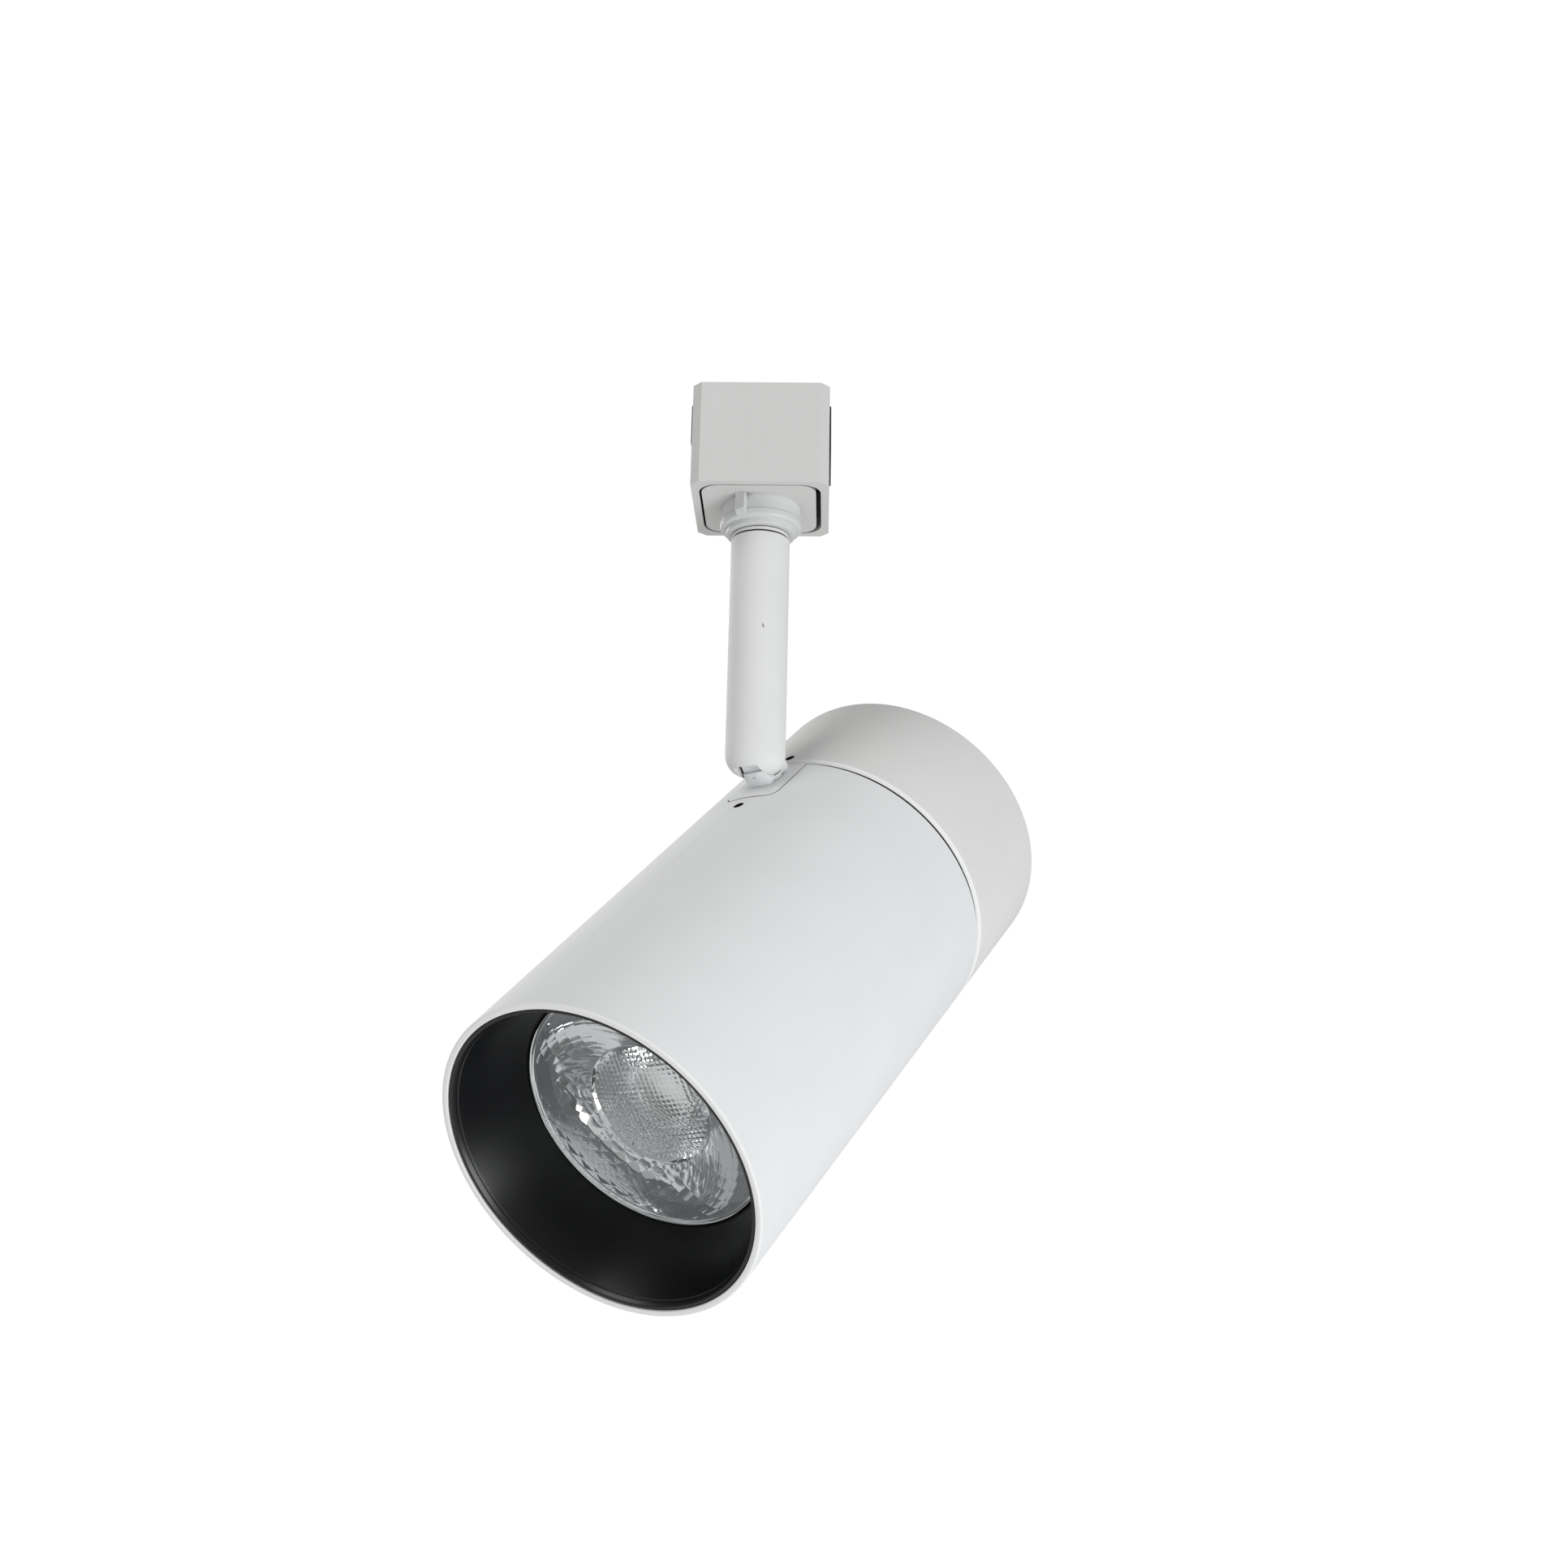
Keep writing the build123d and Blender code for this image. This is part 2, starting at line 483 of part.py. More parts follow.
def chassis_ring():
    """Cast ring that joins both casings, the heat sink and the knuckle."""
    inner = CHASSIS_R - CHASSIS_WALL
    ring = sleeve(CHASSIS_R, inner, CHASSIS_FRONT, CHASSIS_REAR)
    ring += sleeve(inner + 0.5, WEB_IN, CHASSIS_FRONT, CHASSIS_FRONT + WEB_H)
    pad = block((PAD_LOW_S, PAD_HIGH_S), (-PAD_HALF, PAD_HALF), (PAD_Z, PAD_TOP))
    ring += pad & rod(CHASSIS_R, CHASSIS_FRONT, CHASSIS_REAR)
    low, high = PAD_Z - 4, BODY_R
    ring -= disc(SPIGOT_R + SLACK, low, high, PIVOT_S)
    for x, y in PLATE_SCREWS:
        ring -= disc(PLATE_SCREW_R + SLACK, low, high, x, y)
    for station in (FRONT_HOLE_S, REAR_HOLE_S):
        ring -= disc(GRUB_R + 0.02, low, high, station)
    front, rear = CHASSIS_FRONT - 1, CHASSIS_FRONT + WEB_H + 1
    for angle in SINK_SCREW_ANGLES:
        ring -= rod(SINK_SCREW_R + SLACK, front, rear, *on_circle(SINK_SCREW_AT, angle))
    for y, z in TRAY_SCREWS:
        ring -= rod(TRAY_SCREW_R + 0.02, front, rear, y, z)
    return ring


def set_screws():
    """Grub screws under the two casing holes."""
    screws = []
    for station in (FRONT_HOLE_S, REAR_HOLE_S):
        grub = disc(GRUB_R, GRUB_LOW, GRUB_TOP, station)
        key = extrude(Plane.XY.offset(GRUB_TOP - 1.4) * Pos(station, 0) * RegularPolygon(GRUB_KEY, 6), 2)
        screws.append(grub - key)
    return Compound(screws)


# ------------------------------------------------------------------ lamp: optics
LENS_REAR, LENS_FLANGE = 40.4, 21.5
DISC_S, DISC_R = 23.5, 15.0
HOLDER_REAR, HOLDER_R = 41.1, 30.75
LED_RING_R, LED_RING_FRONT = 24.0, 41.2
LED_HALF, LED_FRONT, LED_BACK = 12.0, 44.1, 45.5
PHOSPHOR_R, PHOSPHOR_H = 7.2, 0.5
HOLDER_SCREW_AT, HOLDER_SCREW_R = 19.5, 1.5
LEAD_Z, LEAD_WAY = -15.5, 2.5


def baffle():
    """Black anti-glare cone from the rim down to the lens, with a rolled lip."""
    lip_r, throat = BODY_R - 1.65, LENS_R + 0.5
    return turned(
        Axis.X,
        Polyline((0.9, lip_r), (2.1, lip_r), (2.1, 37.7), (20.9, throat + 1.2),
                 (24.5, throat + 1.2), (24.5, throat), (LENS_S + 0.2, throat), (1.7, 36.9)),
        ThreePointArc((1.7, 36.9), (0.35, 37.7), (0.9, lip_r)),
    )


def lens():
    """Clear collimating lens: outer rim, coned front, sunk centre and a lamp cavity."""
    waist_r, flange_in = 10.6, LENS_R - 1.0
    return turned(
        Axis.X,
        Polyline((DISC_S, 0), (DISC_S, DISC_R), (22.7, DISC_R + 0.4), (20.4, 29.0), (LENS_S, 29.5),
                 (LENS_S, LENS_R), (LENS_FLANGE, LENS_R), (LENS_FLANGE, flange_in)),
        ThreePointArc((LENS_FLANGE, flange_in), (30.0, 22.6), (LENS_REAR, waist_r)),
        Polyline((LENS_REAR, waist_r), (LENS_REAR, 8.2), (31.0, 7.4), (30.0, 0), (DISC_S, 0)),
    )


def lens_holder():
    """Black cup that carries the lens on the LED holder."""
    front, lip, rear, back = LENS_FLANGE + SLACK, 29.95, LENS_REAR + SLACK, HOLDER_REAR
    return turned(
        Axis.X,
        Polyline((front, HOLDER_R), (front, lip)),
        ThreePointArc((front, lip), (30.4, 23.1), (rear, 11.3)),
        Polyline((rear, 11.3), (back, 11.3), (back, 16.0), (back - 1.2, 16.0), (back - 1.2, 13.2)),
        ThreePointArc((back - 1.2, 13.2), (31.2, 24.2), (24.0, HOLDER_R)),
        Polyline((24.0, HOLDER_R), (front, HOLDER_R)),
    )


def cob_holder():
    """White ring that clamps the LED to the heat sink."""
    ring = rod(LED_RING_R, LED_RING_FRONT, BASE_S)
    pocket, mouth_h = LED_HALF + 0.2, 2.8
    ring -= block((LED_FRONT - 0.2, BASE_S + 1), (-pocket, pocket), (-pocket, pocket))
    ring -= Pos(LED_RING_FRONT + mouth_h / 2, 0, 0) * Rot(0, 90, 0) * Cone(pocket, 8.4, mouth_h)
    front, rear = LED_RING_FRONT - 1, BASE_S + 1
    ring -= rod(LEAD_WAY, front, rear, 0, LEAD_Z)
    for side in (-1, 1):
        ring -= rod(HOLDER_SCREW_R + SLACK, front, rear, side * HOLDER_SCREW_AT)
    return ring


def holder_screws():
    """Two screws of the LED holder."""
    screws = []
    for side in (-1, 1):
        seat = Pos(LED_RING_FRONT, side * HOLDER_SCREW_AT, 0) * Rot(0, -90, 0)
        screws.append(seat * screw(2.7, 2.0, HOLDER_SCREW_R, 9))
    return Compound(screws)


def cob_led():
    """Square LED board."""
    return block((LED_FRONT, LED_BACK), (-LED_HALF, LED_HALF), (-LED_HALF, LED_HALF))


def led_phosphor():
    """Yellow light-emitting disc of the LED."""
    return rod(PHOSPHOR_R, LED_FRONT - PHOSPHOR_H, LED_FRONT)


def thermal_pad():
    """Thin heat-conducting sheet behind the LED board."""
    return block((LED_BACK, BASE_S), (-LED_HALF, LED_HALF), (-LED_HALF, LED_HALF))


# ------------------------------------------------------- lamp: heat sink and driver
FIN_COUNT, FIN_THICK, FIN_OUT = 16, 1.6, 36.5
SINK_BASE_END, FIN_END, SINK_CORE_R, PILLAR_R = 52.0, 83.0, 12.0, 3.5


def heat_sink():
    """Finned casting behind the LED, with three pillars up to the chassis ring."""
    root = SINK_BASE_END - 1
    sink = rod(CHASSIS_R - 0.05, BASE_S, SINK_BASE_END) + rod(SINK_CORE_R, root, FIN_END)
    for index in range(FIN_COUNT):
        fin = block((root, FIN_END), (-FIN_THICK / 2, FIN_THICK / 2), (SINK_CORE_R - 1, FIN_OUT))
        sink += Rot((index + 0.5) * 360 / FIN_COUNT, 0, 0) * fin
    for angle in SINK_SCREW_ANGLES:
        y, z = on_circle(SINK_SCREW_AT, angle)
        sink += rod(PILLAR_R, root, CHASSIS_FRONT, y, z)
        sink -= rod(SINK_SCREW_R + 0.02, CHASSIS_FRONT - 10, CHASSIS_FRONT + 1, y, z)
    sink -= rod(LEAD_WAY, BASE_S - 1, SINK_BASE_END + 1, 0, LEAD_Z)
    for side in (-1, 1):
        sink -= rod(HOLDER_SCREW_R + 0.02, BASE_S - 1, root, side * HOLDER_SCREW_AT)
    return sink


def heat_sink_screws():
    """Three screws through the chassis web into the heat sink's pillars."""
    screws = []
    for angle in SINK_SCREW_ANGLES:
        y, z = on_circle(SINK_SCREW_AT, angle)
        seat = Pos(CHASSIS_FRONT + WEB_H, y, z) * Rot(0, 90, 0)
        screws.append(seat * screw(2.7, 2.2, SINK_SCREW_R, 11))
    return Compound(screws)


TRAY_TOP, BOARD_LOW, BOARD_TOP = -23.0, -19.6, -18.0
TRAY_FRONT, TRAY_END, TRAY_HALF, TRAY_WALL = 89.1, 151.0, 21.5, 2.0
FOOT_LOW, TRAY_FOOT_HALF = -30.0, 15.0
BOARD_FRONT, BOARD_END, BOARD_HALF = 94.0, 150.0, 25.0
BOARD_SCREWS = ((98, -17), (98, 17), (146, -17), (146, 17))
BOARD_SCREW_R = 1.0


def driver_tray():
    """Plastic tray bolted to the chassis web, with four standoffs for the board."""
    foot_back = TRAY_FRONT + TRAY_WALL
    tray = block((TRAY_FRONT, TRAY_END), (-TRAY_HALF, TRAY_HALF), (TRAY_TOP - TRAY_WALL, TRAY_TOP))
    tray += block((TRAY_FRONT, foot_back), (-TRAY_FOOT_HALF, TRAY_FOOT_HALF), (FOOT_LOW, TRAY_TOP))
    for x, y in BOARD_SCREWS:
        tray += disc(2.5, TRAY_TOP - 1, BOARD_LOW, x, y)
        tray -= disc(BOARD_SCREW_R + 0.02, TRAY_TOP - 1.5, BOARD_LOW + 1, x, y)
    for y, z in TRAY_SCREWS:
        tray -= rod(TRAY_SCREW_R + 0.15, TRAY_FRONT - 1, foot_back + 1, y, z)
    return tray


def tray_screws():
    """Two screws of the driver tray."""
    forward = Rot(0, 90, 0) * screw(2.3, 1.8, TRAY_SCREW_R, 5)
    return Compound([Pos(TRAY_FRONT + TRAY_WALL, y, z) * forward for y, z in TRAY_SCREWS])


def driver_board():
    """Printed circuit board of the LED driver."""
    board = block((BOARD_FRONT, BOARD_END), (-BOARD_HALF, BOARD_HALF), (BOARD_LOW, BOARD_TOP))
    for x, y in BOARD_SCREWS:
        board -= disc(BOARD_SCREW_R + SLACK, BOARD_LOW - 1, BOARD_TOP + 1, x, y)
    return board


def board_screws():
    """Four small screws of the driver board."""
    return Compound([
        Pos(x, y, BOARD_TOP) * screw(1.9, 1.3, BOARD_SCREW_R, 4.4, 0.7) for x, y in BOARD_SCREWS
    ])


def transformer():
    """Isolating transformer: ferrite core round a taped winding."""
    core = block((119, 137), (-22, -2), (BOARD_TOP, 0)) - block((118, 138), (-18, -6), (-14, -4))
    winding = block((117.5, 138.5), (-17.5, -6.5), (-13.7, -4.3))
    return core + winding


CAN_R, CANS = 5.0, ((128, 9, 20), (140, 10, 16))        # centre x, y and height


def capacitors():
    """Two electrolytic capacitors standing on the board."""
    cans = []
    for x, y, height in CANS:
        can = disc(CAN_R, BOARD_TOP, BOARD_TOP + height, x, y)
        cans.append(chamfer(can.edges().group_by(Axis.Z)[-1], 0.6))
    return Compound(cans)


def choke():
    """Toroidal choke lying on the board."""
    return Pos(108.5, 15.5, BOARD_TOP + 3.2) * Torus(4.6, 3.2)


def input_terminal():
    """Mains terminal under the knuckle's spigot."""
    return block((105, 114.2), (-6, 6), (BOARD_TOP, -7))


def output_terminal():
    """LED terminal at the board's front edge."""
    return block((96, 103), (-5, 5), (BOARD_TOP, -12))


def led_leads():
    """Two leads from the driver to the LED."""
    start, end = LED_RING_FRONT + 0.3, 96
    return Compound([rod(LEAD_R, start, end, side * LEAD_GAP, LEAD_Z) for side in (-1, 1)])


def supply_leads():
    """Two leads from the knuckle's spigot down to the driver."""
    return Compound([disc(LEAD_R, -7, 38, PIVOT_S, side * LEAD_GAP) for side in (-1, 1)])


# ------------------------------------------------------------------------ assembly
ADAPTER_PARTS = {
    "adapter_shell": adapter_shell(),
    "adapter_base": adapter_base(),
    "adapter_screws": adapter_screws(),
    "contact_carrier": contact_carrier(),
    "live_contact": line_contact(-1),
    "neutral_contact": line_contact(1),
    "earth_contact": earth_contact(),
    "terminal_block": terminal_block(),
    "terminal_screws": terminal_screws(),
    "latch_springs": latch_springs(),
    "release_latch_left": release_latch(-1),
    "release_latch_right": release_latch(1),
    "swivel_collar": swivel_collar(),
}
STEM_PARTS = {
    "stem": stem(),
    "stem_plug": stem_plug(),
    "thrust_washer": thrust_washer(),
    "swivel_bolt": swivel_bolt(),
    "spring_washer": spring_washer(),
    "stop_washer": stop_washer(),
    "swivel_nut": swivel_nut(),
    "hinge_screw": hinge_screw(),
    "stem_leads": stem_leads(),
}
LAMP_PARTS = {
    "knuckle": knuckle(),
    "knuckle_nut": knuckle_nut(),
    "tilt_washers": tilt_washers(),
    "mount_plate": mount_plate(),
    "plate_screws": plate_screws(),
    "front_housing": front_housing(),
    "rear_cap": rear_cap(),
    "seam_gasket": seam_gasket(),
    "set_screws": set_screws(),
    "chassis_ring": chassis_ring(),
    "baffle": baffle(),
    "lens": lens(),
    "lens_holder": lens_holder(),
    "cob_holder": cob_holder(),
    "holder_screws": holder_screws(),
    "cob_led": cob_led(),
    "led_phosphor": led_phosphor(),
    "thermal_pad": thermal_pad(),
    "heat_sink": heat_sink(),
    "heat_sink_screws": heat_sink_screws(),
    "driver_tray": driver_tray(),
    "tray_screws": tray_screws(),
    "driver_board": driver_board(),
    "board_screws": board_screws(),
    "transformer": transformer(),
    "capacitors": capacitors(),
    "choke": choke(),
    "input_terminal": input_terminal(),
    "output_terminal": output_terminal(),
    "led_leads": led_leads(),
    "supply_leads": supply_leads(),
}

os.makedirs("parts", exist_ok=True)
for place, group in ((Pos(0, 0, 0), ADAPTER_PARTS), (STEM_PLACE, STEM_PARTS), (LAMP_PLACE, LAMP_PARTS)):
    for name, shape in group.items():
        export_step(place * shape, f"parts/{name}.step")
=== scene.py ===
import json
import math

import bmesh
import bpy
from mathutils import Matrix, Vector


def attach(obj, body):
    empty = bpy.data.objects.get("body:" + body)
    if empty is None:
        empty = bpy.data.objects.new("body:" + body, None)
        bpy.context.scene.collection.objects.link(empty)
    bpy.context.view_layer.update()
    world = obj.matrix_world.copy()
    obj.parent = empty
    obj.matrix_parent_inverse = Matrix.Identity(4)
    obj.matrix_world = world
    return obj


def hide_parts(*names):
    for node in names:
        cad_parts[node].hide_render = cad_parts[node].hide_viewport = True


# Looks for a track spotlight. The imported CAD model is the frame; the casings, the optics
# and the mouldings that show are built here with rounded edges, and every node that
# stays gets a procedural finish. Outlines are in millimetres, in each group's own axes:
# the lamp's run along it from its front rim, the stem's and the adapter's are upright
# with their zero at the face that lies on the track.

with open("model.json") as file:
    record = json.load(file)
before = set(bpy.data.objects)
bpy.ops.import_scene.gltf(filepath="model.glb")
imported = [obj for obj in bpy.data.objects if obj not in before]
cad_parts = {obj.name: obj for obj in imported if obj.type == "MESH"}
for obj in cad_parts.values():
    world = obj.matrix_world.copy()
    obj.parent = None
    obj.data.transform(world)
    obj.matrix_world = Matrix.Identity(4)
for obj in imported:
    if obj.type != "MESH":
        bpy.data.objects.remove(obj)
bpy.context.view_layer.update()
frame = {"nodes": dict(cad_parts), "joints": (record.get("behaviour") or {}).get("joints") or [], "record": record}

MM = 0.001
ROUND_STEPS = 180          # segments round a turned piece
GAP_SHADE_REACH = 3.0        # painted shade darkens narrow gaps over about this depth

# ------------------------------------------------------------ dimensions of the lamp
# Casings, with the seam between them
BODY_R, BODY_IN, BODY_LEN = 40.0, 38.0, 156.6
BACK_WALL, RIM_ROUND, BACK_ROUND = 2.4, 0.5, 0.8
SEAM_AT, CAP_START, SEAM_BEVEL = 117.3, 118.9, 0.8
REBATE_R, REBATE_DEPTH = 38.45, 2.3
SET_HOLES, SET_HOLE_R = (94.2, 122.0), 1.3
# Tilt axis, plate and knuckle
PIVOT_RISE, PIVOT_S = 8.6, 109.59          # tilt axis above the casing, and along it
PIVOT_R = BODY_R + PIVOT_RISE              # tilt axis from the lamp's axis
PLATE_FRONT, PLATE_HALF, PLATE_CORNER = 98.4, 7.65, 3.5
PLATE_OUT, PLATE_IN, PLATE_GAP = 40.05, 37.9, 0.3
PLATE_HOLE_R, SPIGOT_R, SPIGOT_BORE_R, SPIGOT_END = 4.1, 4.0, 2.2, 28.5
FOOT_R, FOOT_SHIFT, FOOT_RISE = 6.5, 1.2, 3.9
FOOT_HALF, FOOT_FRONT, FOOT_BACK = 3.5, 5.2, 5.4
TONGUE_HALF, TONGUE_FRONT = 3.1, 4.2
BARREL_R, PIN_R = 5.2, 2.05
CHEEK_GROOVES, GROOVE_PITCH, GROOVE_START = 7, 0.8, -3.2
GROOVE_HALF, GROOVE_DEPTH = 0.11, 0.12
# Baffle
LIP_FRONT, LIP_BACK, LIP_R, LIP_INNER_R = 0.35, 2.1, 38.35, 37.5
THROAT_R, THROAT_WALL, THROAT_S, THROAT_END = 30.9, 1.2, 20.2, 24.5

# ------------------------------------------------------------ dimensions of the lens
# Flange, front cone and sunk disc, then the curved back with the LED's well
LENS_S, LENS_R = 20.0, 30.4                # front of the flange, and its radius
FLANGE_BACK, FLANGE_LIP_R, FRONT_R = 21.5, 29.45, 28.9
DISC_S, DISC_R, DISC_STEP = 23.5, 15.0, 22.7
CONE_DROP, CONE_SAG, CONE_SPAN = 2.3, 0.5, 13.1
BACK_FRONT, BACK_MIDDLE, BACK_WAIST = Vector((21.5, 29.4)), Vector((28.6, 24.9)), Vector((40.4, 10.6))
WAIST_BORE_R, DOME_BASE, DOME_R, DOME_S, DOME_RISE = 8.2, 31.2, 7.2, 30.0, 1.0
FACET_COLUMNS, FACET_ROWS, FACET_RISE = 36, 12, 0.2
PILLOW_PITCH, PILLOW_HEIGHT, PILLOW_STEPS, DISC_CROWN = 1.2, 0.22, 4, 1.0

# ------------------------------------------------- dimensions of the stem and adapter
# Stem, with the slot and the screw in its nose, and the ring above it
STEM_R, STEM_BORE_R, NOSE_ROUND = 7.6, 6.1, 5.5
STEM_TOP, STEM_LOW, BORE_END = -36.75, -100.2, -79.0
SLOT_HALF, SLOT_FRONT_R, SLOT_RISE, BARREL_GAP = 3.75, 5.55, 5.8, 0.4
SCREW_R, SCREW_HEAD_R, LEAD_WAY_R = 2.02, 3.3, 2.5
CHIP_AT = (0.00152, -0.00745, -0.06268)    # chipped paint on the stem, in metres
WASHER_R, WASHER_GAP_LOW, WASHER_GAP_HIGH = 7.35, 0.45, 0.1
# Adapter box and its openings
BOX_W, BOX_D, BOX_H, BOX_TOP = 35.1, 34.2, 27.7, 2.2
BOX_WALL, BOX_CHAMFER = 2.0, 2.25
MOUTH_CORNER, MOUTH_DEPTH, INSIDE_CORNER = 5.0, 3.6, 3.0
WINDOW_HALF, WINDOW_LOW, WINDOW_HIGH = 13.3, -15.4, -4.0
CONTACT_SLOT_X, CONTACT_SLOT_Y = (3.8, 14.8), (-4.8, 4.8)
EARTH_SLOT_X, EARTH_SLOT_Y = (-2.6, 2.6), (11.9, 14.7)
SCREW_HOLE_R, SINK_R, SINK_DEPTH = 1.4, 2.7, 1.4
# Insert plate, its posts and the pan stop
POSTS, POST_R, POST_BORE_R = ((8.8, 11.5), (-8.8, -11.5)), 2.8, 1.27
BASE_LOW, BASE_HIGH, BASE_DROP = -27.5, -24.5, 0.15
BASE_X, BASE_Y, BASE_CORNER = (-15.0, 14.3), (-14.45, 14.8), 4.6
STOP_AT, STOP_R, STOP_TOP = 9.6, 0.9, -22.2
# Collar
COLLAR_R, COLLAR_LOW, COLLAR_BORE, COLLAR_PLUG_R = 10.3, -35.3, 5.05, 6.5
COLLAR_FLANGE_R, COLLAR_FLANGE, COLLAR_STEP_R = 10.6, (-33.8, -31.9), 9.0
STOP_RIB_ANGLE, STOP_RIB_R, STOP_RIB_HALF, STOP_RIB_LOW = 244.5, 11.9, 1.3, -33.4
# Release latches
BUTTON_HALF, BUTTON_LOW, BUTTON_HIGH, BUTTON_PROUD = 13.0, -15.1, -4.3, 0.4
BUTTON_RIDGES, RIDGE_DEPTH, RIDGE_HALF = (-13, -11.4, -9.8, -8.2, -6.6), 0.25, 0.3
BUTTON_FLANGE = ((-12, 12), (-17.2, -2.9), (14.0, 15.4))
SPRING_SEAT_R, SPRING_SEAT_Z = 2.6, -10
HOOK_ROOT, HOOK_REACH, HOOK_HALF = 13.0, 16.8, 4.0
HOOK_LOW, HOOK_TIP, HOOK_TOP = 2.9, 3.4, 5.2

# ------------------------------------------------------------- where the groups stand
joints = {joint["name"]: joint for joint in frame["joints"]}
tilt_joint = joints["lamp_tilt"]
pivot = Vector(tilt_joint["pos_m"])
across = Vector(tilt_joint["axis"])
PAN = math.atan2(across.x, -across.y)
TILT = -math.radians(tilt_joint["range_deg"][0])

UNITS = Matrix.Scale(MM, 4)
ADAPTER_AT = UNITS
STEM_AT = Matrix.Rotation(PAN, 4, "Z") @ UNITS
LAMP_AT = (
    Matrix.Translation(pivot) @ Matrix.Rotation(PAN, 4, "Z") @ Matrix.Rotation(-TILT, 4, "Y")
    @ UNITS @ Matrix.Translation((-PIVOT_S, 0, -PIVOT_R))
)
PIVOT_Z = pivot.z / MM


# ------------------------------------------------------------------------ mesh tools
def new_piece(name, mesh):
    """Object for a finished bmesh."""
    bmesh.ops.recalc_face_normals(mesh, faces=mesh.faces)
    data = bpy.data.meshes.new(name)
    mesh.to_mesh(data)
    mesh.free()
    piece = bpy.data.objects.new(name, data)
    bpy.context.scene.collection.objects.link(piece)
    return piece


def rounded(corners, steps=4):
    """Closed outline from (x, y, radius) corners, each corner turned into an arc."""
    outline = []
    for index, (x, y, radius) in enumerate(corners):
        here = Vector((x, y))
        if radius == 0:
            outline.append(here)
            continue
        back = (Vector(corners[index - 1][:2]) - here).normalized()
        ahead = (Vector(corners[(index + 1) % len(corners)][:2]) - here).normalized()
        half = back.angle(ahead) / 2
        middle = here + (back + ahead).normalized() * radius / math.sin(half)
        first = (here + back * radius / math.tan(half) - middle).normalized()
        last = (here + ahead * radius / math.tan(half) - middle).normalized()
        for step in range(steps + 1):
            outline.append(middle + first.slerp(last, step / steps) * radius)
    return outline


def rectangle(x_low, x_high, y_low, y_high, radius=0.0, steps=6):
    """Rectangle outline with equal corners."""
    corners = ((x_low, y_low), (x_high, y_low), (x_high, y_high), (x_low, y_high))
    return rounded([(x, y, radius) for x, y in corners], steps)


def circle(radius, x=0.0, y=0.0, steps=96):
    """Round outline."""
    turns = (2 * math.pi * step / steps for step in range(steps))
    return [Vector((x + radius * math.cos(t), y + radius * math.sin(t))) for t in turns]


def along_x(along, radius, turn):
    return Vector((along, radius * math.cos(turn), radius * math.sin(turn)))


def along_z(along, radius, turn):
    return Vector((radius * math.cos(turn), radius * math.sin(turn), along))


def turned(name, outline, axis=along_x, steps=ROUND_STEPS):
    """Solid turned about an axis from a closed outline of (along, radius) points."""
    mesh = bmesh.new()
    rings = [
        [mesh.verts.new(axis(p[0], p[1], 2 * math.pi * k / steps)) for k in range(steps)]
        for p in outline
    ]
    for index, ring in enumerate(rings):
        before = rings[index - 1]
        if outline[index][1] < 1e-6 and outline[index - 1][1] < 1e-6:
            continue
        for k in range(steps):
            mesh.faces.new((before[k - 1], before[k], ring[k], ring[k - 1]))
    bmesh.ops.remove_doubles(mesh, verts=mesh.verts, dist=1e-5)
    return new_piece(name, mesh)


def on_floor(x, y, height):
    return Vector((x, y, height))


def on_wall(x, z, depth):
    return Vector((x, depth, z))


def on_side(y, z, depth):
    return Vector((depth, y, z))


def prism(outline, low, high, plane=on_floor, name="form"):
    """Straight-sided solid from a closed outline, between two depths."""
    mesh = bmesh.new()
    ends = [[mesh.verts.new(plane(p[0], p[1], depth)) for p in outline] for depth in (low, high)]
    for index in range(len(outline)):
        mesh.faces.new((ends[0][index - 1], ends[0][index], ends[1][index], ends[1][index - 1]))
    for end in ends:
        mesh.faces.new(end)
    return new_piece(name, mesh)


def box(x, y, z, name="form"):
    """Plain block between a low and a high value on each axis, for cutting and joining."""
    return prism(rectangle(x[0], x[1], y[0], y[1]), z[0], z[1], on_floor, name)


def applied(piece):
    """Bakes the modifiers into the mesh."""
    graph = bpy.context.evaluated_depsgraph_get()
    data = bpy.data.meshes.new_from_object(piece.evaluated_get(graph), depsgraph=graph)
    piece.modifiers.clear()
    piece.data = data
    return piece


def combined(piece, operation, tools):
    """Cuts the tools from a piece, or joins them to it."""
    for tool in tools:
        change = piece.modifiers.new("combine", "BOOLEAN")
        change.operation = operation
        change.solver = "EXACT"
        change.object = tool
    applied(piece)
    for tool in tools:
        bpy.data.objects.remove(tool)
    return piece


def cut(piece, *tools):
    return combined(piece, "DIFFERENCE", tools)


def joined(piece, *tools):
    return combined(piece, "UNION", tools)


def kept(piece, tool):
    return combined(piece, "INTERSECT", (tool,))


def touched_up(piece, chosen, finish, number=1):
    """Gives the faces that chosen(centre, normal) picks their own finish."""
    while len(piece.data.materials) < number:
        piece.data.materials.append(None)
    piece.data.materials.append(finish)
    for face in piece.data.polygons:
        if chosen(face.center, face.normal):
            face.material_index = number


